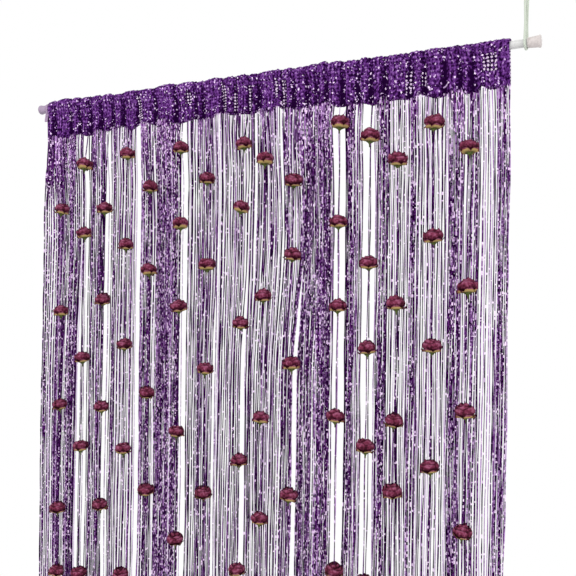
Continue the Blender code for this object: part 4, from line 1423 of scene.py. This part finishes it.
class CURTAIN_OT_hanging_cord(bpy.types.Operator):
    """Lay the cord that loops under the rod and rises to the ceiling fitting"""

    bl_idname = "curtain.hanging_cord"
    bl_label = "Hanging cord"

    def execute(self, context):
        fitting = context.scene.curtain_fitting
        other = [(-across, -depth, height) for across, depth, height in reversed(CORD_LEG[:-1])]
        route = smooth_route(np.array([*CORD_LEG, *other]) * MM, substeps=6) + (CORD_X, 0.0, 0.0)
        finish = twisted_cord("hanging cord", fitting.cord_colour)
        piece, path = rope("hanging_cord", route, fitting.cord_diameter, finish)
        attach(piece, BODY)
        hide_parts("hang_cord")
        return {"FINISHED"}


class CURTAIN_OT_left_tie(bpy.types.Operator):
    """Wind the tie round the rod's left end and let its two ends hang"""

    bl_idname = "curtain.left_tie"
    bl_label = "Left tie"

    def execute(self, context):
        fitting = context.scene.curtain_fitting
        tail = np.array(TIE_TAIL) * MM + (TIE_X, TIE_TAIL_DEPTH, 0.0)
        spread = np.array((TIE_SPREAD, 0.0, 0.0))
        share = np.linspace(0.0, 1.0, TIE_STEPS + 1)
        angle = TIE_FIRST_ANGLE - TIE_WOUND * share
        radius = TIE_RADIUS + TIE_CROSSING_LIFT * np.maximum(0.0, 1.0 - np.abs(share - 0.5) / TIE_CROSSING)
        across = TIE_X + TIE_SPREAD * (2.0 * eased(0.5 + (share - 0.5) / (2.0 * TIE_CROSSING)) - 1.0)
        wound = np.stack((across, radius * np.cos(angle), radius * np.sin(angle)), axis=1)
        route = smooth_route(np.concatenate((tail - spread, wound, tail[::-1] + spread)), substeps=4)
        finish = twisted_cord("left tie", fitting.tie_colour)
        piece, path = rope("left_tie", route, fitting.cord_diameter, finish)
        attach(piece, BODY)
        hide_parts("tie_left", "tie_tail_a", "tie_tail_b")
        return {"FINISHED"}


class CURTAIN_OT_rod(bpy.types.Operator):
    """Coat the rod and turn its two flared caps"""

    bl_idname = "curtain.rod"
    bl_label = "Rod and caps"

    def execute(self, context):
        fitting = context.scene.curtain_fitting
        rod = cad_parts["rod"]
        rod.data.materials.clear()
        rod.data.materials.append(rod_coating(fitting))
        # The left cap's colour is the right cap's plastic with painted shade
        for name, node, side, colour in (("left_cap", "cap_left", -1, fitting.left_cap_colour),
                                         ("right_cap", "cap_right", 1, fitting.cap_colour)):
            low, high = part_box(node)
            face = low[0] if side < 0 else high[0]
            finish = cap_plastic(name, colour)
            cap = turned(name, CAP_OUTLINE, (side, 0, 0), (face, 0.0, 0.0), finish, fitting.lathe_sides)
            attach(cap, BODY)
            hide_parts(node)
        return {"FINISHED"}


class CURTAIN_OT_heading(bpy.types.Operator):
    """Gather the knitted heading on the rod"""

    bl_idname = "curtain.heading"
    bl_label = "Heading"

    def execute(self, context):
        yarn = context.scene.curtain_yarn
        piece = heading_piece(knit_yarn(yarn))
        thick = piece.modifiers.new("thickness", "SOLIDIFY")
        thick.thickness = DRAWN_THICKNESS
        thick.offset = 0.0
        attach(piece, BODY)
        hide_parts("heading")
        return {"FINISHED"}


class CURTAIN_OT_strings(bpy.types.Operator):
    """Hang the plain strings in two layers from the seam under the heading"""

    bl_idname = "curtain.strings"
    bl_label = "Plain strings"

    def execute(self, context):
        yarn = context.scene.curtain_yarn
        rng = np.random.default_rng(SEED + 1)
        (front, back), sparse = paired_strings(rng, string_places())
        spread = rng.uniform(0.0, 1.0, (4, len(sparse)))
        width = yarn.string_width
        front_widths = width * between(FRONT_WIDTHS, sparse) * between(WIDTH_SPREAD, spread[0])
        back_widths = width * between(BACK_WIDTHS, sparse) * between(WIDTH_SPREAD, spread[1])
        front_tones = between(FRONT_TONES, sparse) * spread[2]
        front_tones += FRONT_LIT_TONE * (spread[2] > FRONT_LIT_ABOVE)
        back_tones = between(BACK_TONES, sparse) + BACK_TONE_SPREAD * spread[3]
        finish = string_yarn(yarn)
        for name, layer, widths, tones, seam in (
                ("front_strings", front, front_widths, front_tones, seam_points()),
                ("back_strings", back, back_widths, back_tones, np.zeros((0, 3)))):
            bunch = bunch_share(layer[0][0])
            glitter = (1.0 - sparse) * (1.0 - bunch) + BUNCH_SPARKLE * bunch
            piece = string_piece(name, yarn, finish, rng, layer, widths, tones + BUNCH_TONE * bunch,
                                 glitter, seam)
            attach(piece, BODY)
            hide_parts("strings")
        return {"FINISHED"}


class CURTAIN_OT_roses(bpy.types.Operator):
    """Hang the rose strings in front, with the roses threaded on them"""

    bl_idname = "curtain.roses"
    bl_label = "Rose strings"

    def execute(self, context):
        yarn = context.scene.curtain_yarn
        rose = context.scene.curtain_rose
        rng = np.random.default_rng(SEED + 2)
        kinds = [make_rose(rng, rose.crinkle) for _ in range(ROSE_KINDS)]
        finishes = [bpy.data.materials.get("string yarn") or string_yarn(yarn),
                    petal_cloth(rose), leaf_cloth(rose)]
        nodes = sorted(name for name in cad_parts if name.startswith("rose_string_"))
        for number, node in enumerate(nodes, start=1):
            piece = rose_string_piece(number, kinds, yarn, finishes)
            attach(piece, BODY)
            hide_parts(node)
        return {"FINISHED"}


class CURTAIN_PT_pieces(bpy.types.Panel):
    """The curtain's pieces, in the order in which they are made"""

    bl_idname = "CURTAIN_PT_pieces"
    bl_label = "String curtain"
    bl_space_type = "VIEW_3D"
    bl_region_type = "UI"
    bl_category = "String curtain"

    def draw(self, context):
        for operator in OPERATORS:
            self.layout.operator(operator.bl_idname)
        for group in (context.scene.curtain_stage, context.scene.curtain_fitting,
                      context.scene.curtain_yarn, context.scene.curtain_rose):
            box = self.layout.box()
            for name in group.bl_rna.properties.keys():
                if name not in ("rna_type", "name"):
                    box.prop(group, name)


OPERATORS = (
    CURTAIN_OT_stage,
    CURTAIN_OT_ceiling_fitting,
    CURTAIN_OT_hanging_cord,
    CURTAIN_OT_left_tie,
    CURTAIN_OT_rod,
    CURTAIN_OT_heading,
    CURTAIN_OT_strings,
    CURTAIN_OT_roses,
)
SETTINGS = {
    "curtain_stage": StageSettings,
    "curtain_fitting": FittingSettings,
    "curtain_yarn": YarnSettings,
    "curtain_rose": RoseSettings,
}


def register():
    for settings in SETTINGS.values():
        bpy.utils.register_class(settings)
    for operator in OPERATORS:
        bpy.utils.register_class(operator)
    bpy.utils.register_class(CURTAIN_PT_pieces)
    for name, settings in SETTINGS.items():
        setattr(bpy.types.Scene, name, PointerProperty(type=settings))


def unregister():
    for name in SETTINGS:
        delattr(bpy.types.Scene, name)
    bpy.utils.unregister_class(CURTAIN_PT_pieces)
    for operator in reversed(OPERATORS):
        bpy.utils.unregister_class(operator)
    for settings in SETTINGS.values():
        bpy.utils.unregister_class(settings)


def main():
    register()
    bpy.ops.curtain.stage()
    bpy.ops.curtain.ceiling_fitting()
    bpy.ops.curtain.hanging_cord()
    bpy.ops.curtain.left_tie()
    bpy.ops.curtain.rod()
    bpy.ops.curtain.heading()
    bpy.ops.curtain.strings()
    bpy.ops.curtain.roses()


if __name__ == "__main__":
    main()
